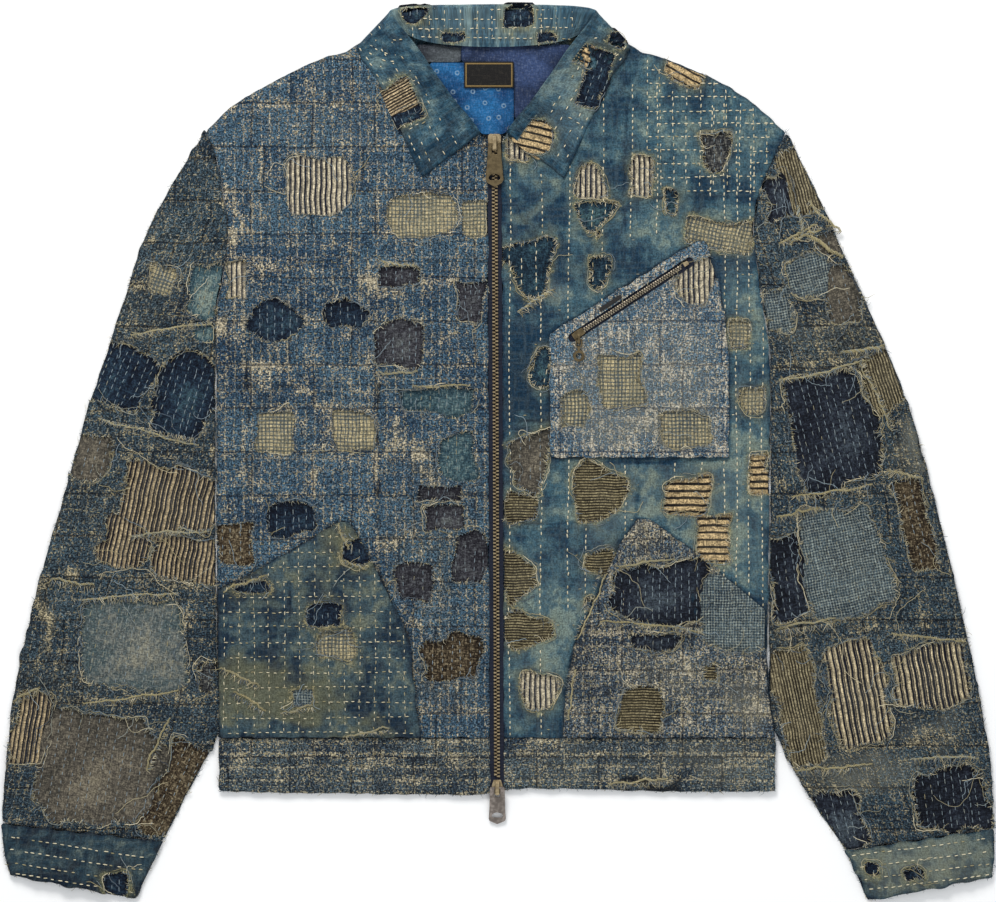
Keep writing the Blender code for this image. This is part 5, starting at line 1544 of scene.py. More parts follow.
for index, (panel, ax, ay, bx, by, thick, hang) in enumerate(LEDGES):
    dice = np.random.default_rng(700 + index)
    surface, begin = surface_of(panel), np.array([ax, ay])
    run = math.hypot(bx - ax, by - ay)
    way = np.array([bx - ax, by - ay]) / run
    side = np.array([way[1], -way[0]]) * np.sign(hang)
    shares = np.linspace(0.0, 1.0, 30)
    sway = np.cumsum(dice.normal(0.0, 0.55, 30))
    for strand in range(3):
        twist = shares * run * 0.9 + strand * 2.1           # three strands, laid round each other
        off = sway + 0.5 * thick * np.sin(twist)
        spot = begin + shares[:, None] * run * way + off[:, None] * side
        z = surface(spot[:, 0], spot[:, 1]) + 0.5 + 0.4 * thick * np.cos(twist)
        radii = 0.3 * thick * np.sin(np.pi * clamp(shares, 0.05, 0.95)) ** 0.3
        tint = float(np.clip(dice.normal(0.74, 0.06), 0.0, 1.0))
        spin("fray_" + panel, [spot], z[None], [radii], [tint], 4)
    count = int(run * 1.3)
    root = begin + dice.random(count)[:, None] * run * way
    aim = side + dice.normal(0.0, 0.5, count)[:, None] * way
    long = abs(hang) * dice.uniform(0.3, 1.4, count)
    steps = np.array([0.0, 0.5, 1.0])
    bend = dice.normal(0.0, 0.3, count)
    plan = (root[:, None] + aim[:, None] * (long[:, None] * steps)[..., None]
            + way * (long[:, None] * bend[:, None] * steps ** 2)[..., None])
    z = surface(plan[..., 0], plan[..., 1]) + 0.5 + 0.5 * np.sin(steps * 3.0)
    radii = dice.uniform(0.18, 0.36, count)[:, None] * np.array([1.0, 0.9, 0.4])
    spin("fray_" + panel, plan, z, radii, tint_of(0.55, dice, count))
print(yarn_triangles(), "triangles of yarn")

# %% [markdown]
# ## The zip
# A metal zip is two woven tapes with teeth clamped along their inner edges. The teeth of one
# side sit half a pitch below those of the other. Each tooth is a small rounded block with
# bevelled top edges; the nose, which locks into the next pair, is narrower than its clamp.

# %% Zip tapes and teeth
TEETH_PITCH = 3.3


def tape_outline(sign, low, high):
    ys = np.linspace(low, high, 90)
    return ([(float(zip_x(y)) + sign * 0.15, y) for y in ys],
            [(float(zip_x(y)) + sign * 6.6, y) for y in ys[::-1]])


def make_tape(name, sign):
    inner, outer = tape_outline(sign, -318.0, 299.0)

    def top(x, y):
        return back_top(x, y) + LAY + 1.3 + 0.08 * puckers(x, y, 12.0, 61)
    return lay_cloth(name, name, ring_points(inner, outer), top, 1.6, straight_place, None, 0.0)


tape_right = make_tape("tape_cloth_right", -1.0)
tape_left = make_tape("tape_cloth_left", 1.0)

# %% Teeth
# share of the reach, half length, height
TOOTH = read_table("0 .55 .55; .18 .8 1; .55 .8 1; .7 1.05 1; .95 1 .75; 1 .8 .35")


def make_teeth(name, line, pitch, reach, height, base):
    """Both rows of teeth along a line of points, their noses at its middle."""
    line = np.asarray(line, float)
    run = run_along(line)
    points, faces = [], []
    for sign in (-1.0, 1.0):
        at = np.arange(1.0 + (pitch / 2.0 if sign > 0 else 0.0), run[-1] - 1.0, pitch)
        for a in at:
            middle = np.array([np.interp(a, run, line[:, k]) for k in (0, 1)])
            ahead = np.array([np.interp(a + 1.0, run, line[:, k]) for k in (0, 1)])
            way = (ahead - middle) / np.linalg.norm(ahead - middle)
            side = np.array([-way[1], way[0]]) * sign
            first = len(points)
            low = base(*middle)
            for share, half, tall in TOOTH:
                spot = middle + side * (share * (reach + 0.4) - 0.4)
                for end in (-1.0, 1.0):
                    foot = spot + way * half * end
                    inset = spot + way * half * 0.62 * end
                    points.append((*foot, low))
                    points.append((*foot, low + height * tall * 0.72))
                    points.append((*inset, low + height * tall))
            for s in range(len(TOOTH) - 1):
                o, n = first + 6 * s, first + 6 * s + 6
                for a0, b0 in ((0, 1), (1, 2), (2, 5), (5, 4), (4, 3)):
                    faces.append((o + a0, o + b0, n + b0, n + a0))
            for o in (first, first + 6 * (len(TOOTH) - 1)):
                faces.append((o, o + 1, o + 2, o + 5, o + 4, o + 3))
    flat = np.array([(p[0], p[1]) for p in points])
    return make_mesh(name, points, faces, flat, None, False)


zip_line = [(float(zip_x(y)), y) for y in np.linspace(-306.0, 284.0, 60)]
teeth = make_teeth("zip_teeth_brass", zip_line, TEETH_PITCH, 2.85, 1.9,
                   lambda x, y: float(back_top(x, y)) + LAY + 1.35)
ax, ay, bx, by = CHEST_ZIP
way_x, way_y = np.array([bx - ax, by - ay]) / math.hypot(bx - ax, by - ay)
chest_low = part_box("chest_zip_tape")[1][2] / MM
chest_line = [(ax + way_x * s, ay + way_y * s) for s in (12.0, 124.0)]
chest_teeth = make_teeth("chest_zip_teeth_brass", chest_line, 2.5, 2.1, 1.7, lambda x, y: chest_low)
print("chest tape's top is at", round(chest_low, 2), "mm")

# %% Chest zip's tape and the bare tab
def oblong_points(half, steps=10):
    """A bar with round ends, along the chest zip."""
    points = []
    for (x, y), first in (((bx, by), -90.0), ((ax, ay), 90.0)):
        for k in range(steps + 1):
            angle = math.radians(first + 180.0 * k / steps)
            points.append((x + (way_x * math.cos(angle) - way_y * math.sin(angle)) * half,
                           y + (way_y * math.cos(angle) + way_x * math.sin(angle)) * half))
    return points


def chest_place(x, y):
    return np.stack([(x - ax) * way_y - (y - ay) * way_x, (x - ax) * way_x + (y - ay) * way_y], -1)


chest_tape = lay_cloth("chest_tape_cloth", "chest_tape", ring_points(oblong_points(SLOT_WIDTH / 2.0 + 0.6)),
                       lambda x, y: chest_low + 0.05 * puckers(x, y, 10.0, 71), 1.0, chest_place, None, 0.0)
TAB = read_table("94.5 135; 96.5 131.5; 117 145; 114.8 148")
tab_run = close_run(TAB + [TAB[0]], 1.5)
tab_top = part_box("chest_tab")[1][2] / MM
chest_tab = lay_cloth("tab_cloth", "tab", ring_points(tab_run)[:-1],
                      lambda x, y: tab_top - 0.5 * rolled(line_distance(x, y, tab_run), 0.8), 0.8,
                      chest_place, None, 0.0)
print("tab's top is at", round(tab_top, 2), "mm")

# %% [markdown]
# ## Cloth finishes
# All cloths share a few effects: threads that cross, tufts where stitching has pulled pale
# weft up, blotches where dye has faded, and fraying round a tear. Each is a node group with
# its own inputs, so that every material can use it at its own scale. A `Wire` is one value on
# its way through the nodes: adding or multiplying wires adds the Math nodes that do it.

# %% Wires
class Wire:
    """Output of a node, for sums that read as sums."""

    def __init__(self, tree, socket):
        self.tree, self.socket = tree, socket

    def math(self, operation, *rest):
        return add(self.tree, "Math", self, *rest, operation=operation)[0]

    def __add__(self, other):
        return self.math("ADD", other)

    def __sub__(self, other):
        return self.math("SUBTRACT", other)

    def __rsub__(self, other):
        return add(self.tree, "Math", other, self, operation="SUBTRACT")[0]

    def __mul__(self, other):
        return self.math("MULTIPLY", other)

    def __truediv__(self, other):
        return self.math("DIVIDE", other)

    def __abs__(self):
        return self.math("ABSOLUTE")

    __radd__, __rmul__ = __add__, __mul__


def add(tree, kind, *first, **named):
    """Node with its inputs in order or by name; names in small letters are its settings."""
    node = tree.nodes.new("ShaderNode" + kind)
    for key in [key for key in named if key[0].islower()]:
        setattr(node, key, named.pop(key))
    by_name = [(node.inputs[key.replace("_", " ")], value) for key, value in named.items()]
    for socket, value in list(zip(node.inputs, first)) + by_name:
        if isinstance(value, Wire):
            tree.links.new(value.socket, socket)
        elif value is not None:
            socket.default_value = value
    return {key: Wire(tree, out) for k, out in enumerate(node.outputs) for key in (k, out.name)}


print("sums that a wire knows:", [name.strip("_") for name, made in vars(Wire).items() if callable(made)])


# %% Steps, noise and colours
def edge_of(value, low, high):
    """0 below low, 1 above high, and a soft step between them."""
    return add(value.tree, "MapRange", value, low, high, interpolation_type="SMOOTHSTEP")[0]


def noise(place, scale, detail=2.0, stretch=(1.0, 1.0, 1.0), distortion=0.0):
    moved = add(place.tree, "VectorMath", place, stretch, operation="MULTIPLY")[0]
    return add(place.tree, "TexNoise", noise_dimensions="2D", Vector=moved, Scale=scale,
               Detail=detail, Distortion=distortion)[0]


DYE = 0.86                  # the studio is bright, so dyes give this share of their light


def paint(swatch):
    """Colour as a maker reads it off a swatch card, 0 to 255, turned into light."""
    shares = [c / 255.0 for c in swatch]
    light = [c / 12.92 if c <= 0.04045 else ((c + 0.055) / 1.055) ** 2.4 for c in shares]
    return (*(DYE * c for c in light), 1.0)


def dyed(amount, *colours):
    """The second colour over the first by an amount from 0 to 1. Swatches have three numbers."""
    ground, over = (c if isinstance(c, Wire) or len(c) == 4 else paint(c) for c in colours)
    return add(amount.tree, "Mix", amount, *[None] * 5, ground, over, data_type="RGBA")[2]


def scaled(vector, factor):
    """A place or a colour times a factor."""
    return add(factor.tree, "VectorMath", vector, operation="SCALE", Scale=factor)[0]


print("cream swatch in light:", [round(c, 3) for c in paint((186, 170, 134))[:3]])


# %% Node groups
def parts_of(place):
    """The places across and along the cloth."""
    split = add(place.tree, "SeparateXYZ", place)
    return split[0], split[1]


def new_group(name, outputs, **inputs):
    """Empty node group. Place is a vector; all else that goes in or out is a number."""
    tree = bpy.data.node_groups.new(name, "ShaderNodeTree")
    tree.interface.new_socket("Place", in_out="INPUT", socket_type="NodeSocketVector")
    for label, value in inputs.items():
        socket = tree.interface.new_socket(label, in_out="INPUT", socket_type="NodeSocketFloat")
        socket.default_value = value
    for label in outputs.split():
        tree.interface.new_socket(label, in_out="OUTPUT", socket_type="NodeSocketFloat")
    given = [Wire(tree, socket) for socket in tree.nodes.new("NodeGroupInput").outputs]
    return tree, tree.nodes.new("NodeGroupOutput").inputs, *given[:len(inputs) + 1]


def give(out, **wires):
    """Links wires to the sockets of those names, at the end of a group or a material."""
    for label, wire in wires.items():
        wire.tree.links.new(wire.socket, out[label])


print("groups so far:", len(bpy.data.node_groups))

# %% [markdown]
# Plain weave is warp and weft going over and under each other. At a pitch under a millimetre
# the eye reads it as a grain, so the group gives a height for the bump, a slub value, because
# hand-spun yarn is thicker in places, and a grain from -1 to 1 that darkens and lightens
# threads at random: partly uneven dye, partly painted shade of the small shadows in the weave.
# The grain is what makes an old cloth look hard and crisp instead of flat.

# %% Group: weave
weave, out, place, pitch, uneven = new_group("weave", "Height Slub Grain", Pitch=0.0011, Slub=0.5)
spots = scaled(place, add(weave, "Math", math.pi, pitch, operation="DIVIDE")[0])
warp, weft = (abs(part.math("SINE")) for part in parts_of(spots))
slub = (noise(place, 640.0, 1.0, (1.0, 0.3, 1.0)) + noise(place, 640.0, 1.0, (0.3, 1.0, 1.0))) * 0.5
grain = add(weave, "MapRange", slub + noise(place, 700.0, 1.0), 0.74, 1.26, -1.0, 1.0)[0]
give(out, Slub=slub, Grain=grain, Height=warp * weft + grain * uneven)
print(len(weave.nodes), "nodes")

# %% [markdown]
# The grey-blue cloth is stitched so densely that pale weft stands up in small tufts, with dark
# flecks of the old dye between them. They sit in loose rows both ways. The group gives a mask
# for the cream tufts, one for the flecks, and the height of both.

# %% Group: tufts
tufts, out, place, cream, navy, gap, banding = new_group(
    "tufts", "Cream Navy Height", Cream=0.0, Navy=0.0, Rows=0.0085, Banding=1.0)
wander = noise(place, 30.0, 1.0) * 8.0
upright, level = ((part / gap * (pace * 2 * math.pi) + wander).math("SINE") * 0.5 + 0.5
                  for part, pace in zip(parts_of(place), (1.0, 0.72)))
banded = (upright.math("MAXIMUM", level) - 0.7) * (banding * 0.09)
tuft = noise(place, 760.0, 1.0, (1.0, 0.5, 1.0)).math(
    "MAXIMUM", noise(place, 760.0, 1.0, (0.5, 1.0, 1.0)))
patchy = noise(place, 60.0, 3.0) - 0.5
pulled = edge_of(tuft + banded + patchy * 0.55 + cream * 0.12, 0.6, 0.76)
fleck = noise(place, 620.0, 1.0) + navy * 0.1 - patchy * 0.3
give(out, Cream=pulled, Navy=edge_of(fleck, 0.53, 0.62), Height=pulled * 0.5 + tuft)
print(len(tufts.nodes), "nodes")

# %% [markdown]
# All of it is quilted. Rows of small stitches run up the cloth, and it was pieced from
# rectangles, so each piece has its own tone and its seams have worn pale. The group gives a
# mask for the stitches, the closeness to a row, the tone of the piece, and its seams.

# %% Group: quilt
quilt, out, place, gap, upright, level = new_group(
    "quilt", "Stitch Near Piece Seam Edge", Gap=0.0084, Upright=1.0, Level=0.4)
STITCH_PITCH = 0.0064
drift = noise(place, 25.0, 2.0) * 0.005 + -0.0025
sway = add(quilt, "VectorMath", place, drift)[0]


def stitch_row(across, along, gap):
    """Mask of the stitches, and how near their row is."""
    turns = across / gap
    own = add(quilt, "TexWhiteNoise", noise_dimensions="1D", W=turns.math("FLOOR"))[0]
    off = abs(turns.math("FRACT") - 0.5)
    dash = edge_of(abs((along / STITCH_PITCH + own).math("FRACT") - 0.5), 0.2, 0.3)
    return (1.0 - edge_of(off, 0.045, 0.09)) * dash, 1.0 - edge_of(off, 0.0, 0.36)


x, y = parts_of(sway)
up_mark, up_near = stitch_row(x, y, gap)
level_mark, level_near = stitch_row(y, x, gap * 1.5)
rows = (up_mark * upright).math("MAXIMUM", level_mark * level)
give(out, Near=(up_near * upright).math("MAXIMUM", level_near * level),
     Stitch=rows * edge_of(noise(place, 110.0, 2.0), 0.42, 0.56))
for mortar, soft, output in ((0.0009, 0.3, "Seam"), (0.007, 1.0, "Edge")):
    pieces = add(quilt, "TexBrick", offset=0.37, squash=1.6, squash_frequency=3, Vector=sway,
                 Color1=(0.0, 0.0, 0.0, 1.0), Color2=(1.0, 1.0, 1.0, 1.0), Scale=1.0, Mortar_Size=mortar,
                 Mortar_Smooth=soft, Brick_Width=0.058, Row_Height=0.041)
    give(out, **{output: pieces["Fac"]})
    if output == "Seam":
        give(out, Piece=pieces["Color"])
print(len(quilt.nodes), "nodes")

# %% [markdown]
# Dye fades in clouds, rubs off in short streaks along the threads, and mottles where the cloth
# has been wet and creased. This group gives all three.

# %% Group: fade
fade, out, place, scale = new_group("fade", "Cloud Streak Mottle", Scale=20.0)
streak = noise(place, 300.0, 2.0, (1.0, 0.12, 1.0)).math(
    "MAXIMUM", noise(place, 300.0, 2.0, (0.12, 1.0, 1.0)))
give(out, Cloud=edge_of(noise(place, scale, 3.0), 0.3, 0.7), Streak=edge_of(streak, 0.42, 0.72),
     Mottle=edge_of(noise(place, 210.0, 3.0, (1.0, 0.8, 1.0), 0.5), 0.34, 0.66))
print(len(fade.nodes), "nodes")

# %% [markdown]
# Ticking, pinstripe and checks are woven stripes. The stripe group repeats a pale stripe across
# the cloth, lets it wander a little, and makes each stripe its own width. A check is two sets
# of stripes that cross, so the check materials use the group twice.

# %% Group: stripes
stripes, out, place, across, along, pitch, share, uneven = new_group(
    "stripes", "Stripe", Across=0.0, Along=0.0, Pitch=0.005, Share=0.5, Uneven=0.5)
lean = add(stripes, "CombineXYZ", across * 0.2, along)[0]
turns = (across + (noise(lean, 55.0, 1.0) - 0.5) * 0.0022) / pitch
own = add(stripes, "TexWhiteNoise", noise_dimensions="1D", W=turns.math("FLOOR"))[0]
inner = abs(turns.math("FRACT") - 0.5) - ((own - 0.5) * uneven + share) * 0.5
give(out, Stripe=edge_of(inner * -1.0, -0.06, 0.06))
print(len(stripes.nodes), "nodes")

# %% [markdown]
# Round a tear the threads have lost their blue and stand loose. The mark "fray" on the mesh is
# 1 on a torn edge and fades within a few millimetres; the group breaks it up with noise.

# %% Group: fray
fray, out, place, near, reach = new_group("fray", "Pale Height", Near=0.0, Reach=0.5)
tangle = noise(place, 520.0, 2.0, (1.0, 1.0, 1.0), 1.2)
pale = (tangle - 0.5) * 1.5 + (near + (noise(place, 90.0, 2.0) - 0.5) * 1.1)
give(out, Pale=edge_of(pale, 0.95 - reach, 1.35 - reach), Height=tangle * near)
print("groups:", [g.name for g in bpy.data.node_groups])

# %% [markdown]
# ## Putting a finish together
# `new_finish` makes a material and sets its shader. A cloth also needs its own places, the
# wear marks of its mesh with the painted shade they carry, and a fine bump. Each cloth then mixes its own
# colour.

# %% The common start of a cloth material
finishes = {}


def new_finish(name, **shader):
    finishes[name] = bpy.data.materials.new(name)
    finishes[name].use_nodes = True
    tree = finishes[name].node_tree
    for key, value in shader.items():
        tree.nodes["Principled BSDF"].inputs[key.replace("_", " ")].default_value = value
    return tree


def end_finish(colour, height, distance, strength, **others):
    """Links the colour and a bump of the height, and any other values, to the shader."""
    bump = add(colour.tree, "Bump", Height=height, Distance=distance, Strength=strength)[0]
    give(colour.tree.nodes["Principled BSDF"].inputs, **{"Base Color": colour, "Normal": bump}, **others)


def start_cloth(name, roughness=0.94, sheen=0.03):
    tree = new_finish(name, Roughness=roughness, Specular_IOR_Level=0.12, Sheen_Weight=sheen,
                      Sheen_Roughness=0.6)
    return add(tree, "UVMap", uv_map="cloth")[0]


def mark(place, name):
    """A mark that the mesh carries, such as how worn each place is."""
    return add(place.tree, "Attribute", attribute_name=name)["Fac"]


def group(which, place, **sockets):
    return add(place.tree, "Group", node_tree=which, Place=place, **sockets)


def wear_and_painted_shade(place, colour, shade, grain, reach, pale, height, crisp):
    """Grain of the threads, partly painted shade; then the shade mark: paler where worn, darker where worn
    dark and where shade is painted; then the pale tangle round the tears.
    """
    colour = scaled(colour, grain * crisp + 1.0)
    colour = dyed(edge_of(shade, 0.0, 1.6) * 0.6, colour, (158, 158, 142))
    # a negative shade mark turns the colour towards near-black: darker wear, and painted shade at rolled
    # edges, seams, fold valleys, pocket rims and window rims
    colour = dyed(edge_of(shade * -1.0, 0.0, 1.3) * 0.85, colour, (14, 18, 26))
    frayed = group(fray, place, Near=mark(place, "fray"), Reach=reach)
    halo = scaled(paint(pale)[:3], grain * 0.55 + 1.0)
    return dyed(frayed["Pale"] * 0.78, colour, halo), height + frayed["Height"] * 1.2


print("a dye gives", DYE, "of its swatch's light")


# %% Grey-blue tufted cloth
def tufted_cloth(name, deep, ground, cream, navy, cream_add, navy_add, brown, upright, level,
                 reach, fuzz):
    place = start_cloth(name)
    clouds = group(fade, place, Scale=26.0)
    threads = group(weave, place, Pitch=0.0012, Slub=0.5)
    rows = group(quilt, place, Upright=upright, Level=level)
    more = rows["Near"] * 0.7 + (rows["Edge"] * 0.6 + (cream_add - 0.8))
    knots = group(tufts, place, Cream=mark(place, "cream") + more, Navy=navy_add)
    tone = clouds["Mottle"] * 0.5 + (clouds["Cloud"] * 0.45 + (rows["Piece"] * 0.5 + -0.2))
    colour = dyed(tone, deep, ground)
    olive = edge_of(mark(place, "brown") + (clouds["Mottle"] * -0.5 + 0.2), 0.1, 1.4)
    for amount, over in ((olive * 0.7, brown), (edge_of(knots["Height"], 0.5, 0.74) * 0.5, fuzz),
                         (knots["Navy"] * 0.8, navy), (knots["Cream"] * 0.85, cream),
                         (rows["Stitch"] * 0.7, cream), (rows["Seam"] * 0.6, navy)):
        colour = dyed(amount, colour, over)
    height = knots["Height"] * 1.8 + threads["Height"] * 0.5
    height = height + (rows["Near"] * -1.2 + rows["Seam"] * -1.5)
    end_finish(*wear_and_painted_shade(place, colour, mark(place, "shade"), threads["Grain"], reach,
                        (168, 158, 126), height, 0.7), 0.0008, 1.0)


TUFTED = {                  # deep, ground, cream, navy, more cream, more navy, brown, upright
    "mottled": ((28, 60, 88), (78, 110, 130), (208, 194, 162), (18, 36, 54),    # and level rows,
                -0.08, 0.2, (92, 88, 66), 0.8, 0.4, -0.1, (122, 136, 142)),     # reach, fuzz
    "mottled_sleeve": ((24, 46, 64), (72, 94, 106), (194, 180, 144), (10, 18, 28),
                       -0.24, 0.5, (92, 90, 74), 0.5, 0.3, 0.05, (108, 118, 120)),
    "mottled_hem": ((30, 52, 72), (94, 112, 120), (204, 192, 160), (16, 26, 38),
                    0.15, 0.45, (98, 94, 76), 0.1, 1.0, -0.1, (124, 130, 128)),
    "mottled_chest": ((54, 88, 114), (102, 132, 150), (212, 202, 180), (34, 56, 80),
                      0.1, 0.0, (130, 128, 108), 1.0, 0.6, 0.1, (136, 150, 156)),
    "mottled_pocket": ((38, 62, 84), (96, 116, 130), (210, 198, 170), (18, 26, 40),
                       0.22, 0.5, (112, 104, 84), 0.9, 0.5, 0.1, (124, 130, 130))}
for name, look in TUFTED.items():
    tufted_cloth(name, *look)
print(len(finishes), "finishes so far")


# %% Washed indigo
def washed_indigo(name, deep, middle, washed, scale, reach, halo, olive=(104, 104, 78)):
    place = start_cloth(name, 0.92)
    clouds = group(fade, place, Scale=scale)
    fine = group(fade, place, Scale=scale * 4.0)
    threads = group(weave, place, Pitch=0.001, Slub=0.4)
    shade = mark(place, "shade")
    tone = (clouds["Cloud"] * 0.8 + -0.35 + (fine["Cloud"] * 0.45 + (clouds["Mottle"] * 0.3 + -0.1))
            + shade * 0.8)
    colour = dyed(edge_of(tone, -0.2, 0.6), deep, middle)
    browned = edge_of(mark(place, "brown") + (fine["Cloud"] * 0.5 + -0.3), 0.1, 1.1)
    soft = edge_of(fine["Cloud"] * 0.3 + mark(place, "fray"), 0.2, 1.1)
    for amount, over in ((edge_of(tone, 0.5, 1.2), washed), (browned * 0.75, olive),
                         (clouds["Streak"] * 0.1, (138, 146, 134)), (soft * 0.45, olive)):
        colour = dyed(amount, colour, over)
    height = clouds["Mottle"] + threads["Height"] * 0.8
    end_finish(*wear_and_painted_shade(place, colour, shade * 0.7, threads["Grain"], reach, halo, height, 0.4),
               0.0005, 0.7)


INDIGO = {                  # deep, middle, washed, scale, reach, halo and olive
    "indigo": ((22, 52, 74), (62, 94, 108), (120, 138, 132), 15.0, 0.15, (158, 150, 108)),
    "indigo_pocket": ((22, 42, 60), (58, 80, 90), (112, 120, 108), 18.0, 0.3, (160, 150, 112),
                      (98, 98, 74)),
    "indigo_collar": ((20, 50, 70), (50, 84, 102), (104, 128, 132), 24.0, 0.2, (150, 148, 114)),
    "indigo_cuff": ((20, 36, 52), (46, 68, 80), (108, 120, 114), 22.0, 0.3, (140, 138, 104))}
for name, look in INDIGO.items():
    washed_indigo(name, *look)
print(len(finishes), "finishes so far")

# %% [markdown]
# The scraps are plain old cottons. Navy, charcoal, brown, teal and grey differ in colour and in
# how slubby they are; a faded place in the middle shows where the wearer's arm has rubbed.

# %% Plain scraps
def plain_scrap(name, deep, middle, worn, fleck, crisp, scale=30.0):
    place = start_cloth(name, 0.93)
    clouds = group(fade, place, Scale=scale)
    threads = group(weave, place, Pitch=0.0011, Slub=0.6)
    shade = mark(place, "shade")
    tone = clouds["Cloud"] * 0.4 + clouds["Mottle"] * 0.4 + shade * 0.9
    colour = dyed(edge_of(tone, -0.1, 0.9), deep, middle)
    colour = dyed(edge_of(tone, 0.55, 1.2), colour, worn)
    colour = dyed(edge_of(threads["Slub"], 0.53, 0.64) * fleck, colour, worn)
    height = clouds["Mottle"] * 0.8 + threads["Height"]
    end_finish(*wear_and_painted_shade(place, colour, shade.math("MINIMUM", 0.0), threads["Grain"], 0.0,
                        (166, 152, 120), height, crisp), 0.0005, 0.7)


PLAIN = {                   # deep, middle and worn colours, flecks, crispness, scale
    "navy": ((8, 16, 32), (32, 48, 66), (58, 82, 92), 0.2, 0.6, 22.0),
    "tealnavy": ((12, 26, 40), (34, 58, 74), (74, 102, 106), 0.2, 0.6, 22.0),
    "blackblue": ((12, 16, 26), (38, 44, 56), (70, 80, 88), 0.2, 0.6),
    "seagreen": ((44, 70, 82), (78, 104, 110), (130, 142, 132), 0.4, 0.5),
    "plum": ((36, 35, 42), (66, 66, 72), (96, 100, 100), 0.4, 0.6),
    "charcoal": ((30, 32, 36), (66, 68, 70), (118, 116, 106), 0.5, 0.7),
    "brown": ((46, 36, 26), (88, 76, 58), (142, 130, 104), 0.5, 0.8),
    "teal": ((70, 88, 92), (104, 110, 108), (142, 140, 124), 0.4, 0.45),
    "grey": ((64, 62, 56), (98, 92, 82), (132, 124, 106), 0.4, 0.5)}
for name, look in PLAIN.items():
    plain_scrap(name, *look)
print(len(finishes), "finishes so far")


# %% Striped and checked scraps
def striped_scrap(name, deep, ground, stripe, pitch, share, uneven, crisp, level=0, twin=0.0,
                  lone=0.0, crossed=0.0):
    """Scrap with stripes one way, or both ways if it says how strong lone and crossed ones are."""
    place = start_cloth(name, 0.93)
    across, along = parts_of(place)[::-1 if level else 1]
    clouds = group(fade, place, Scale=40.0)
    threads = group(weave, place, Pitch=0.0011, Slub=0.6)

    def bands(across, along, share, uneven):
        return group(stripes, place, Across=across, Along=along, Pitch=pitch, Share=share,
                     Uneven=uneven)["Stripe"]
    lines = lit = bands(across, along, share, uneven)
    if twin:
        lit = lines.math("MAXIMUM", bands(across + pitch * 0.36, along, twin, 0.1) * 0.6)
    if lone:
        other = bands(along, across, share, uneven)
        lit = (lines + other) * lone + lines * other * crossed
    lit = lit * (clouds["Mottle"] * 0.5 + 0.55)
    colour = dyed(clouds["Cloud"], deep, ground)
    colour = dyed(lit.math("MINIMUM", 1.0), colour, stripe)
    height = lines * 0.9 + (clouds["Mottle"] * 0.6 + threads["Height"])
    end_finish(*wear_and_painted_shade(place, colour, mark(place, "shade").math("MINIMUM", 0.25), threads["Grain"],
                        -0.2, (176, 162, 126), height, crisp), 0.0005, 0.8)


STRIPED = {                 # deep, ground, stripe; pitch, share, unevenness, crispness; level,
    "ticking": ((12, 16, 28), (36, 40, 48), (204, 182, 142), 0.0043, 0.34, 0.3, 0.5, 0, 0.1),
    "tickingwide": ((12, 16, 30), (34, 38, 48), (226, 208, 168), 0.0052, 0.34, 0.3, 0.45, 0, 0.11),
    "tickingh": ((22, 22, 24), (58, 52, 44), (216, 188, 140), 0.0066, 0.66, 0.2, 0.6, 1),
    "pinstripe": ((34, 30, 22), (62, 56, 42), (154, 142, 108), 0.0026, 0.45, 0.3, 0.6, 1),
    "pinstripev": ((36, 32, 24), (70, 64, 50), (162, 150, 118), 0.0027, 0.5, 0.3, 0.6),
    "finetick": ((38, 32, 30), (70, 60, 50), (206, 184, 146), 0.0027, 0.48, 0.3, 0.6, 1),
    "palestripe": ((16, 22, 40), (40, 48, 62), (226, 212, 180), 0.0049, 0.46, 0.2, 0.45, 0, 0.14),
    "gingham": ((76, 88, 92), (108, 110, 98), (200, 184, 142), 0.0035, 0.58, 0.5, 0.45, 0, 0.0,
                0.18, 0.64),                            # twin stripe, lone and crossed stripes
    "finecheck": ((34, 52, 66), (62, 80, 90), (156, 164, 156), 0.0026, 0.4, 0.3, 0.6, 0, 0.0, 0.5, 0.1)}
for name, look in STRIPED.items():
    striped_scrap(name, *look)
print(len(finishes), "finishes so far")

# %% [markdown]
# ## Lining, tapes, label and yarn
# The lining is smooth cotton with a common ring-dot print: a ring here and there, made from
# the distance to the middle of each cell. Yarn takes its colour from its own tint.

# %% Lining, tape and label
def lining_cloth(name, deep, bright, rings=0.0):
    place = start_cloth(name, 0.75, 0.05)
    cloud = group(fade, place, Scale=32.0)["Cloud"]
    threads = group(weave, place, Pitch=0.0007, Slub=0.3)
    # the shade mark darkens the lining towards its edges: painted shade where they roll under
    colour = dyed(cloud + mark(place, "shade") * 0.5, deep, bright)
    colour = dyed(edge_of(threads["Slub"], 0.53, 0.66) * 0.16, colour, (120, 124, 130))
    if rings:
        cells = add(place.tree, "TexVoronoi", voronoi_dimensions="2D", Vector=place, Scale=68.0,
                    Randomness=0.45)
        ring = 1.0 - edge_of(abs(cells["Distance"] - 0.115), 0.02, 0.06)
        colour = dyed(ring * rings, colour, (150, 176, 190))
    colour = scaled(colour, threads["Grain"] * 0.3 + 1.0)
    end_finish(colour, cloud + threads["Height"] * 0.1, 0.0004, 0.5)


def ribbed_tape(name, deep, bright, pitch):
    place = start_cloth(name, 0.85, 0.1)
    across, along = parts_of(place)
    ribs = group(stripes, place, Across=along, Along=across, Pitch=pitch, Share=0.5,
                 Uneven=0.1)["Stripe"]
    colour = dyed(ribs * 0.6, deep, bright)
    colour = dyed(edge_of(group(fade, place, Scale=40.0)["Streak"], 0.3, 0.9) * 0.3, colour, bright)
    end_finish(colour, ribs, 0.0004, 0.8)


LABEL_MIDDLE = (-0.0085, 0.3545)
LABEL_LINE = (0.0215, 0.0105)           # half width and half height of its woven line


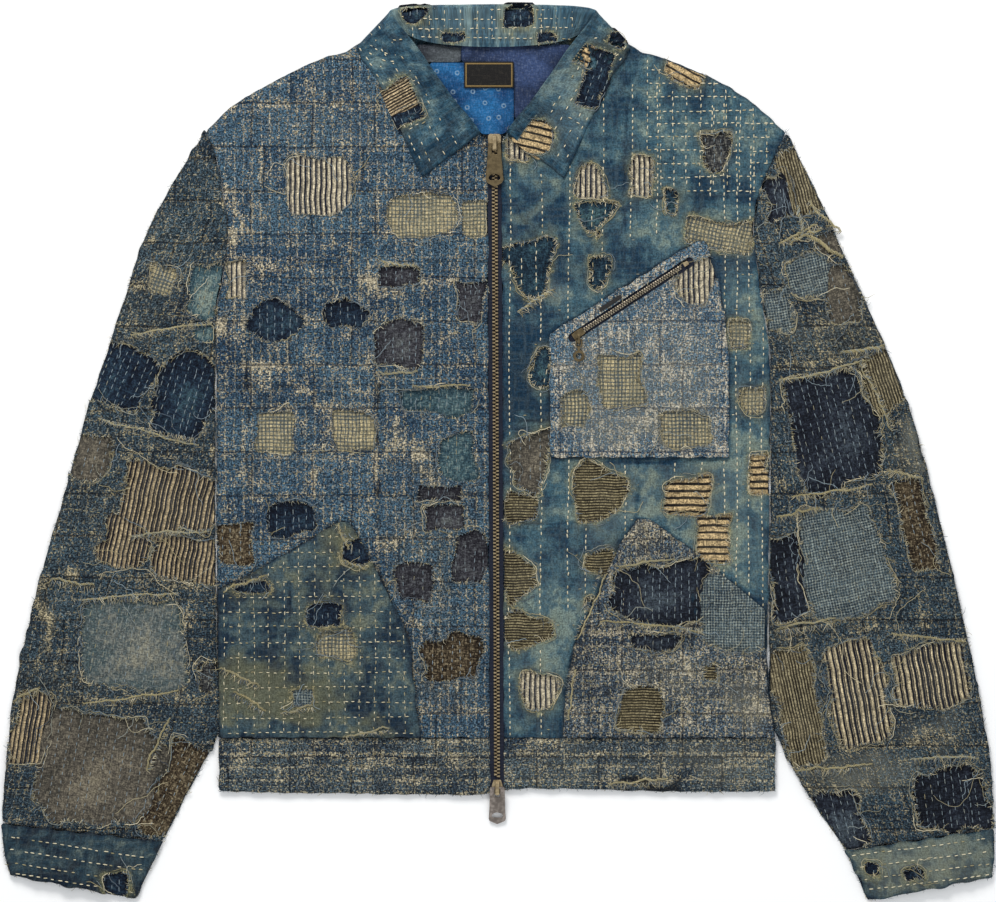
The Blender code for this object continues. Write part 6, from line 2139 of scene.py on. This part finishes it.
def woven_label():
    """Black damask with a gold line woven round it, and nothing inside the line."""
    place = start_cloth("label", 0.6, 0.1)
    x, y = (abs(part - middle) - half
            for part, middle, half in zip(parts_of(place), LABEL_MIDDLE, LABEL_LINE))
    gold = 1.0 - edge_of(abs(x.math("MAXIMUM", y)), 0.0004, 0.0008)
    threads = group(weave, place, Pitch=0.0006, Slub=0.4)
    colour = dyed(edge_of(threads["Slub"], 0.5, 0.66) * 0.3, (18, 16, 15), (58, 52, 44))
    colour = dyed(gold * 0.85, colour, (150, 124, 74))
    end_finish(colour, threads["Height"] + gold, 0.0003, 0.7)


lining_cloth("lining_blue", (12, 56, 100), (34, 100, 152), 0.45)
lining_cloth("lining_violet", (30, 43, 70), (54, 72, 110))
lining_cloth("lining_grey", (44, 48, 56), (78, 84, 88))
ribbed_tape("tape", (16, 20, 34), (38, 46, 66), 0.0013)
ribbed_tape("tab", (34, 34, 36), (56, 54, 52), 0.0009)
woven_label()
print(len(finishes), "finishes so far")


# %% Yarn
def yarn_finish():
    tree = new_finish("yarn", Roughness=0.9, Sheen_Weight=0.15, Specular_IOR_Level=0.2)
    where = add(tree, "TexCoord")["Object"]
    tint = mark(where, "tint")
    twist = add(tree, "TexNoise", Vector=where, Scale=700.0, Detail=2.0)[0]
    soiled = add(tree, "TexNoise", Vector=where, Scale=60.0, Detail=2.0)[0]
    colour = dyed(edge_of(tint, 0.0, 0.5), (40, 58, 78), (148, 166, 176))
    for amount, over in ((edge_of(tint, 0.5, 0.75), (170, 158, 116)),
                         (edge_of(tint, 0.78, 1.0), (246, 234, 200)),
                         (edge_of(soiled, 0.5, 0.75) * 0.35, (128, 120, 92)),
                         (edge_of(twist, 0.55, 0.75) * 0.3, (90, 86, 70))):
        colour = dyed(amount, colour, over)
    end_finish(colour, twist, 0.0003, 0.6)


yarn_finish()
print("yarn runs from indigo at 0 to cream at 1")

# %% [markdown]
# ## Metal
# The zip is brass, gone brown in the gaps and rubbed bright on top. The pulls are antique brass
# and grey nickel. One recipe does them all: a tarnish cloud decides between the bright and the
# dull colour and makes the dull part rougher, and fine scratches break up the shine.

# %% Metals
def old_metal(name, bright, dull):
    tree = new_finish(name, Metallic=0.85)
    where = add(tree, "TexCoord")["Object"]
    cloud = add(tree, "TexNoise", Vector=where, Scale=240.0, Detail=4.0)[0]
    stretched = add(tree, "VectorMath", where, (1.0, 0.15, 1.0), operation="MULTIPLY")[0]
    scratch = add(tree, "TexNoise", Vector=stretched, Scale=1800.0, Detail=2.0)[0]
    tarnish = edge_of(cloud, 0.35, 0.62)
    colour = dyed(tarnish * 0.55, bright, dull)
    colour = dyed(edge_of(scratch, 0.56, 0.7) * 0.3, colour, dull)
    end_finish(colour, scratch + cloud, 0.0001, 0.5, Roughness=tarnish * 0.22 + 0.34)


old_metal("brass", (204, 184, 146), (70, 52, 32))
old_metal("pewter", (186, 174, 152), (56, 50, 42))
old_metal("bronze", (132, 116, 86), (48, 40, 28))
old_metal("nickel", (148, 138, 130), (86, 78, 72))
print(len(finishes), "finishes")

# %% [markdown]
# ## Dressing the pieces
# Now each piece gets its finish and rides on the jacket's body, and the CAD node it stands for
# is hidden. For each panel and each CAD patch, the flat size it was cut to before it was sewn
# is printed with its area.

# %% Tables of the panels
PANEL_OBJECTS = {
    "FR": front_right, "FL": front_left, "BK": back, "HR": hem_right, "HL": hem_left, "HB": hem_back,
    "SR": sleeve_right, "SL": sleeve_left, "KR": cuff_right, "KL": cuff_left, "PR": pocket_right,
    "PL": pocket_left, "CP": chest_pocket, "CO": collar, "lining_cloth_blue": lining_blue,
    "lining_cloth_violet": lining_violet, "lining_cloth_grey": lining_grey, "label_cloth": neck_label,
    "tape_right": tape_right, "tape_left": tape_left, "chest_tape": chest_tape, "tab": chest_tab}
# panel: CAD node, finish, slot, flat width and length in mm, the panel it rests on
PANEL_TABLE = read_table("""
FR: front_right mottled mottled 262 676 BK
FL: front_left indigo indigo 262 676 BK
BK: back mottled mottled 546 676 -
HR: hem_band_right mottled_hem mottled 256 54 HB
HL: hem_band_left mottled_hem mottled 256 54 HB
HB: hem_band_back mottled_hem mottled 525 56 -
SR: sleeve_right mottled_sleeve mottled 400 690 -
SL: sleeve_left mottled_sleeve mottled 400 690 -
KR: cuff_right indigo_cuff indigo 306 74 -
KL: cuff_left indigo_cuff indigo 290 74 -
PR: pocket_right indigo_pocket indigo 192 206 FR
PL: pocket_left mottled_pocket mottled 204 210 FL
CP: chest_pocket mottled_chest mottled 170 206 FL
CO: collar indigo_collar indigo 560 150 FR
lining_cloth_blue: lining_blue lining_blue lining_blue 80 70 BK
lining_cloth_violet: lining_violet lining_violet lining_violet 106 74 BK
lining_cloth_grey: lining_grey lining_grey lining_grey 46 18 BK
label_cloth: neck_label label label 48 26 lining_cloth_blue
tape_right: zip_tape_right tape tape 7 620 BK
tape_left: zip_tape_left tape tape 7 620 BK
chest_tape: chest_zip_tape tape tape 10 142 FL
tab: chest_tab tab label 5 26 CP""")
# cloths whose scraps have another finish on one panel
PANEL_SCRAPS = {(panel, cloth): finish for panel, cloth, finish in read_table("""
FR: teal seagreen; grey plum; charcoal plum; ticking palestripe
FL: navy tealnavy; ticking palestripe
SL: pinstripe pinstripev; ticking tickingwide; navy blackblue
PL: navy blackblue
CP: ticking palestripe
CO: ticking finetick""")}
LEAST_SHARE = 0.31          # the least share of its cut that a sheet's area is taken as, in a sum that is not kept
print(len(PANEL_TABLE), "panels")


# %% Dressing the panels
def dress(obj, finish):
    obj.data.materials.clear()
    obj.data.materials.append(finishes[finish])
    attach(obj, "jacket")


def declare(obj, node, finish, flat):
    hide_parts(node)
    dress(obj, finish)
    area = sum(face.area for face in obj.data.polygons)
    size = sorted(max(10.0, side) * MM for side in flat)
    whole = size[0] * size[1]
    min(max(area, LEAST_SHARE * whole), whole)
    print(obj.name, "flat", [round(s / MM) for s in size], "mm, area", round(area * 1e4, 1), "cm2")


going = {}
for name in sorted(yarns):
    yarn = make_yarn(name)
    dress(yarn, "yarn")
    going.setdefault(name.split("_")[1].replace("CS", "CO"), []).append(yarn)
for key, (piece, row) in patch_pieces.items():
    panel, cloth = row[0], row[1]
    slot = CLOTH_NAMES[cloth]
    finish = PANEL_SCRAPS.get((panel, cloth), cloth)
    if row[9]:
        width, length = row[4] + 2 * patch_margin(row), row[5] + 2 * patch_margin(row)
        declare(piece, row[9], finish, (width, length))
    else:
        dress(piece, finish)
        going.setdefault(panel.replace("CS", "CO"), []).append(piece)
for panel, node, finish, slot, wide, long, under in PANEL_TABLE:
    declare(PANEL_OBJECTS[panel], node, finish, (wide, long))

# %% [markdown]
# ## Metal parts
# The sliders and pulls keep the CAD's own shapes, because those are already right and the pulls
# turn on their hinges. A narrow bevel softens their edges so that they catch the light.

# %% Metal parts
for obj, node, finish in ((teeth, "zip_teeth", "brass"), (chest_teeth, "chest_zip_teeth", "pewter")):
    obj.data.materials.append(finishes[finish])
    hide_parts(node)
    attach(obj, "jacket")
METAL_NODES = {"zip_slider_top": "brass", "zip_pull_top": "bronze", "zip_slider_bottom": "brass",
               "zip_pull_bottom": "nickel", "chest_zip_slider": "bronze", "chest_zip_pull": "bronze",
               "chest_zip_stop": "brass"}
for node, finish in METAL_NODES.items():
    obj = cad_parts[node]
    obj.data.materials.clear()
    obj.data.materials.append(finishes[finish])
    weld = obj.modifiers.new("weld", "WELD")
    weld.merge_threshold = 0.00002
    bevel = obj.modifiers.new("bevel", "BEVEL")
    bevel.width = 0.0004
    bevel.segments = 2
    bevel.limit_method = "ANGLE"
    bevel.angle_limit = math.radians(38.0)
    bevel.harden_normals = False
print(len(METAL_NODES), "metal parts keep the CAD's own shapes")

# %% [markdown]
# ## Floor
# A plain near-white floor, just under the cloth, catches the jacket's soft shadow.

# %% Floor
FLOOR_HALF, FLOOR_Z = 4.0, -0.0002
floor_mesh = bpy.data.meshes.new("floor")
corners = [(x * FLOOR_HALF, y * FLOOR_HALF, FLOOR_Z) for x, y in ((-1, -1), (1, -1), (1, 1), (-1, 1))]
floor_mesh.from_pydata(corners, [], [(0, 1, 2, 3)])
floor = bpy.data.objects.new("floor", floor_mesh)
scene.collection.objects.link(floor)
tree = new_finish("floor_paint", Roughness=0.9, Specular_IOR_Level=0.1)
cloud = add(tree, "TexNoise", Scale=3.0, Detail=2.0)[0]
shades = dyed(cloud, (0.96, 0.96, 0.96, 1.0), (0.98, 0.98, 0.98, 1.0))
give(tree.nodes["Principled BSDF"].inputs, **{"Base Color": shades})
floor_mesh.materials.append(finishes["floor_paint"])
floor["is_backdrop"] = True
print("floor is", 2 * FLOOR_HALF, "m wide, at", FLOOR_Z, "m")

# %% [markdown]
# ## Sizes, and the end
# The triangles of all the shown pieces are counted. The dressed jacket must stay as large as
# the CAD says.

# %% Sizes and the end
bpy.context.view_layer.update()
triangles = sum(sum(len(p.vertices) - 2 for p in o.data.polygons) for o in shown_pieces() if o.type == "MESH")
print("triangles in all:", triangles)
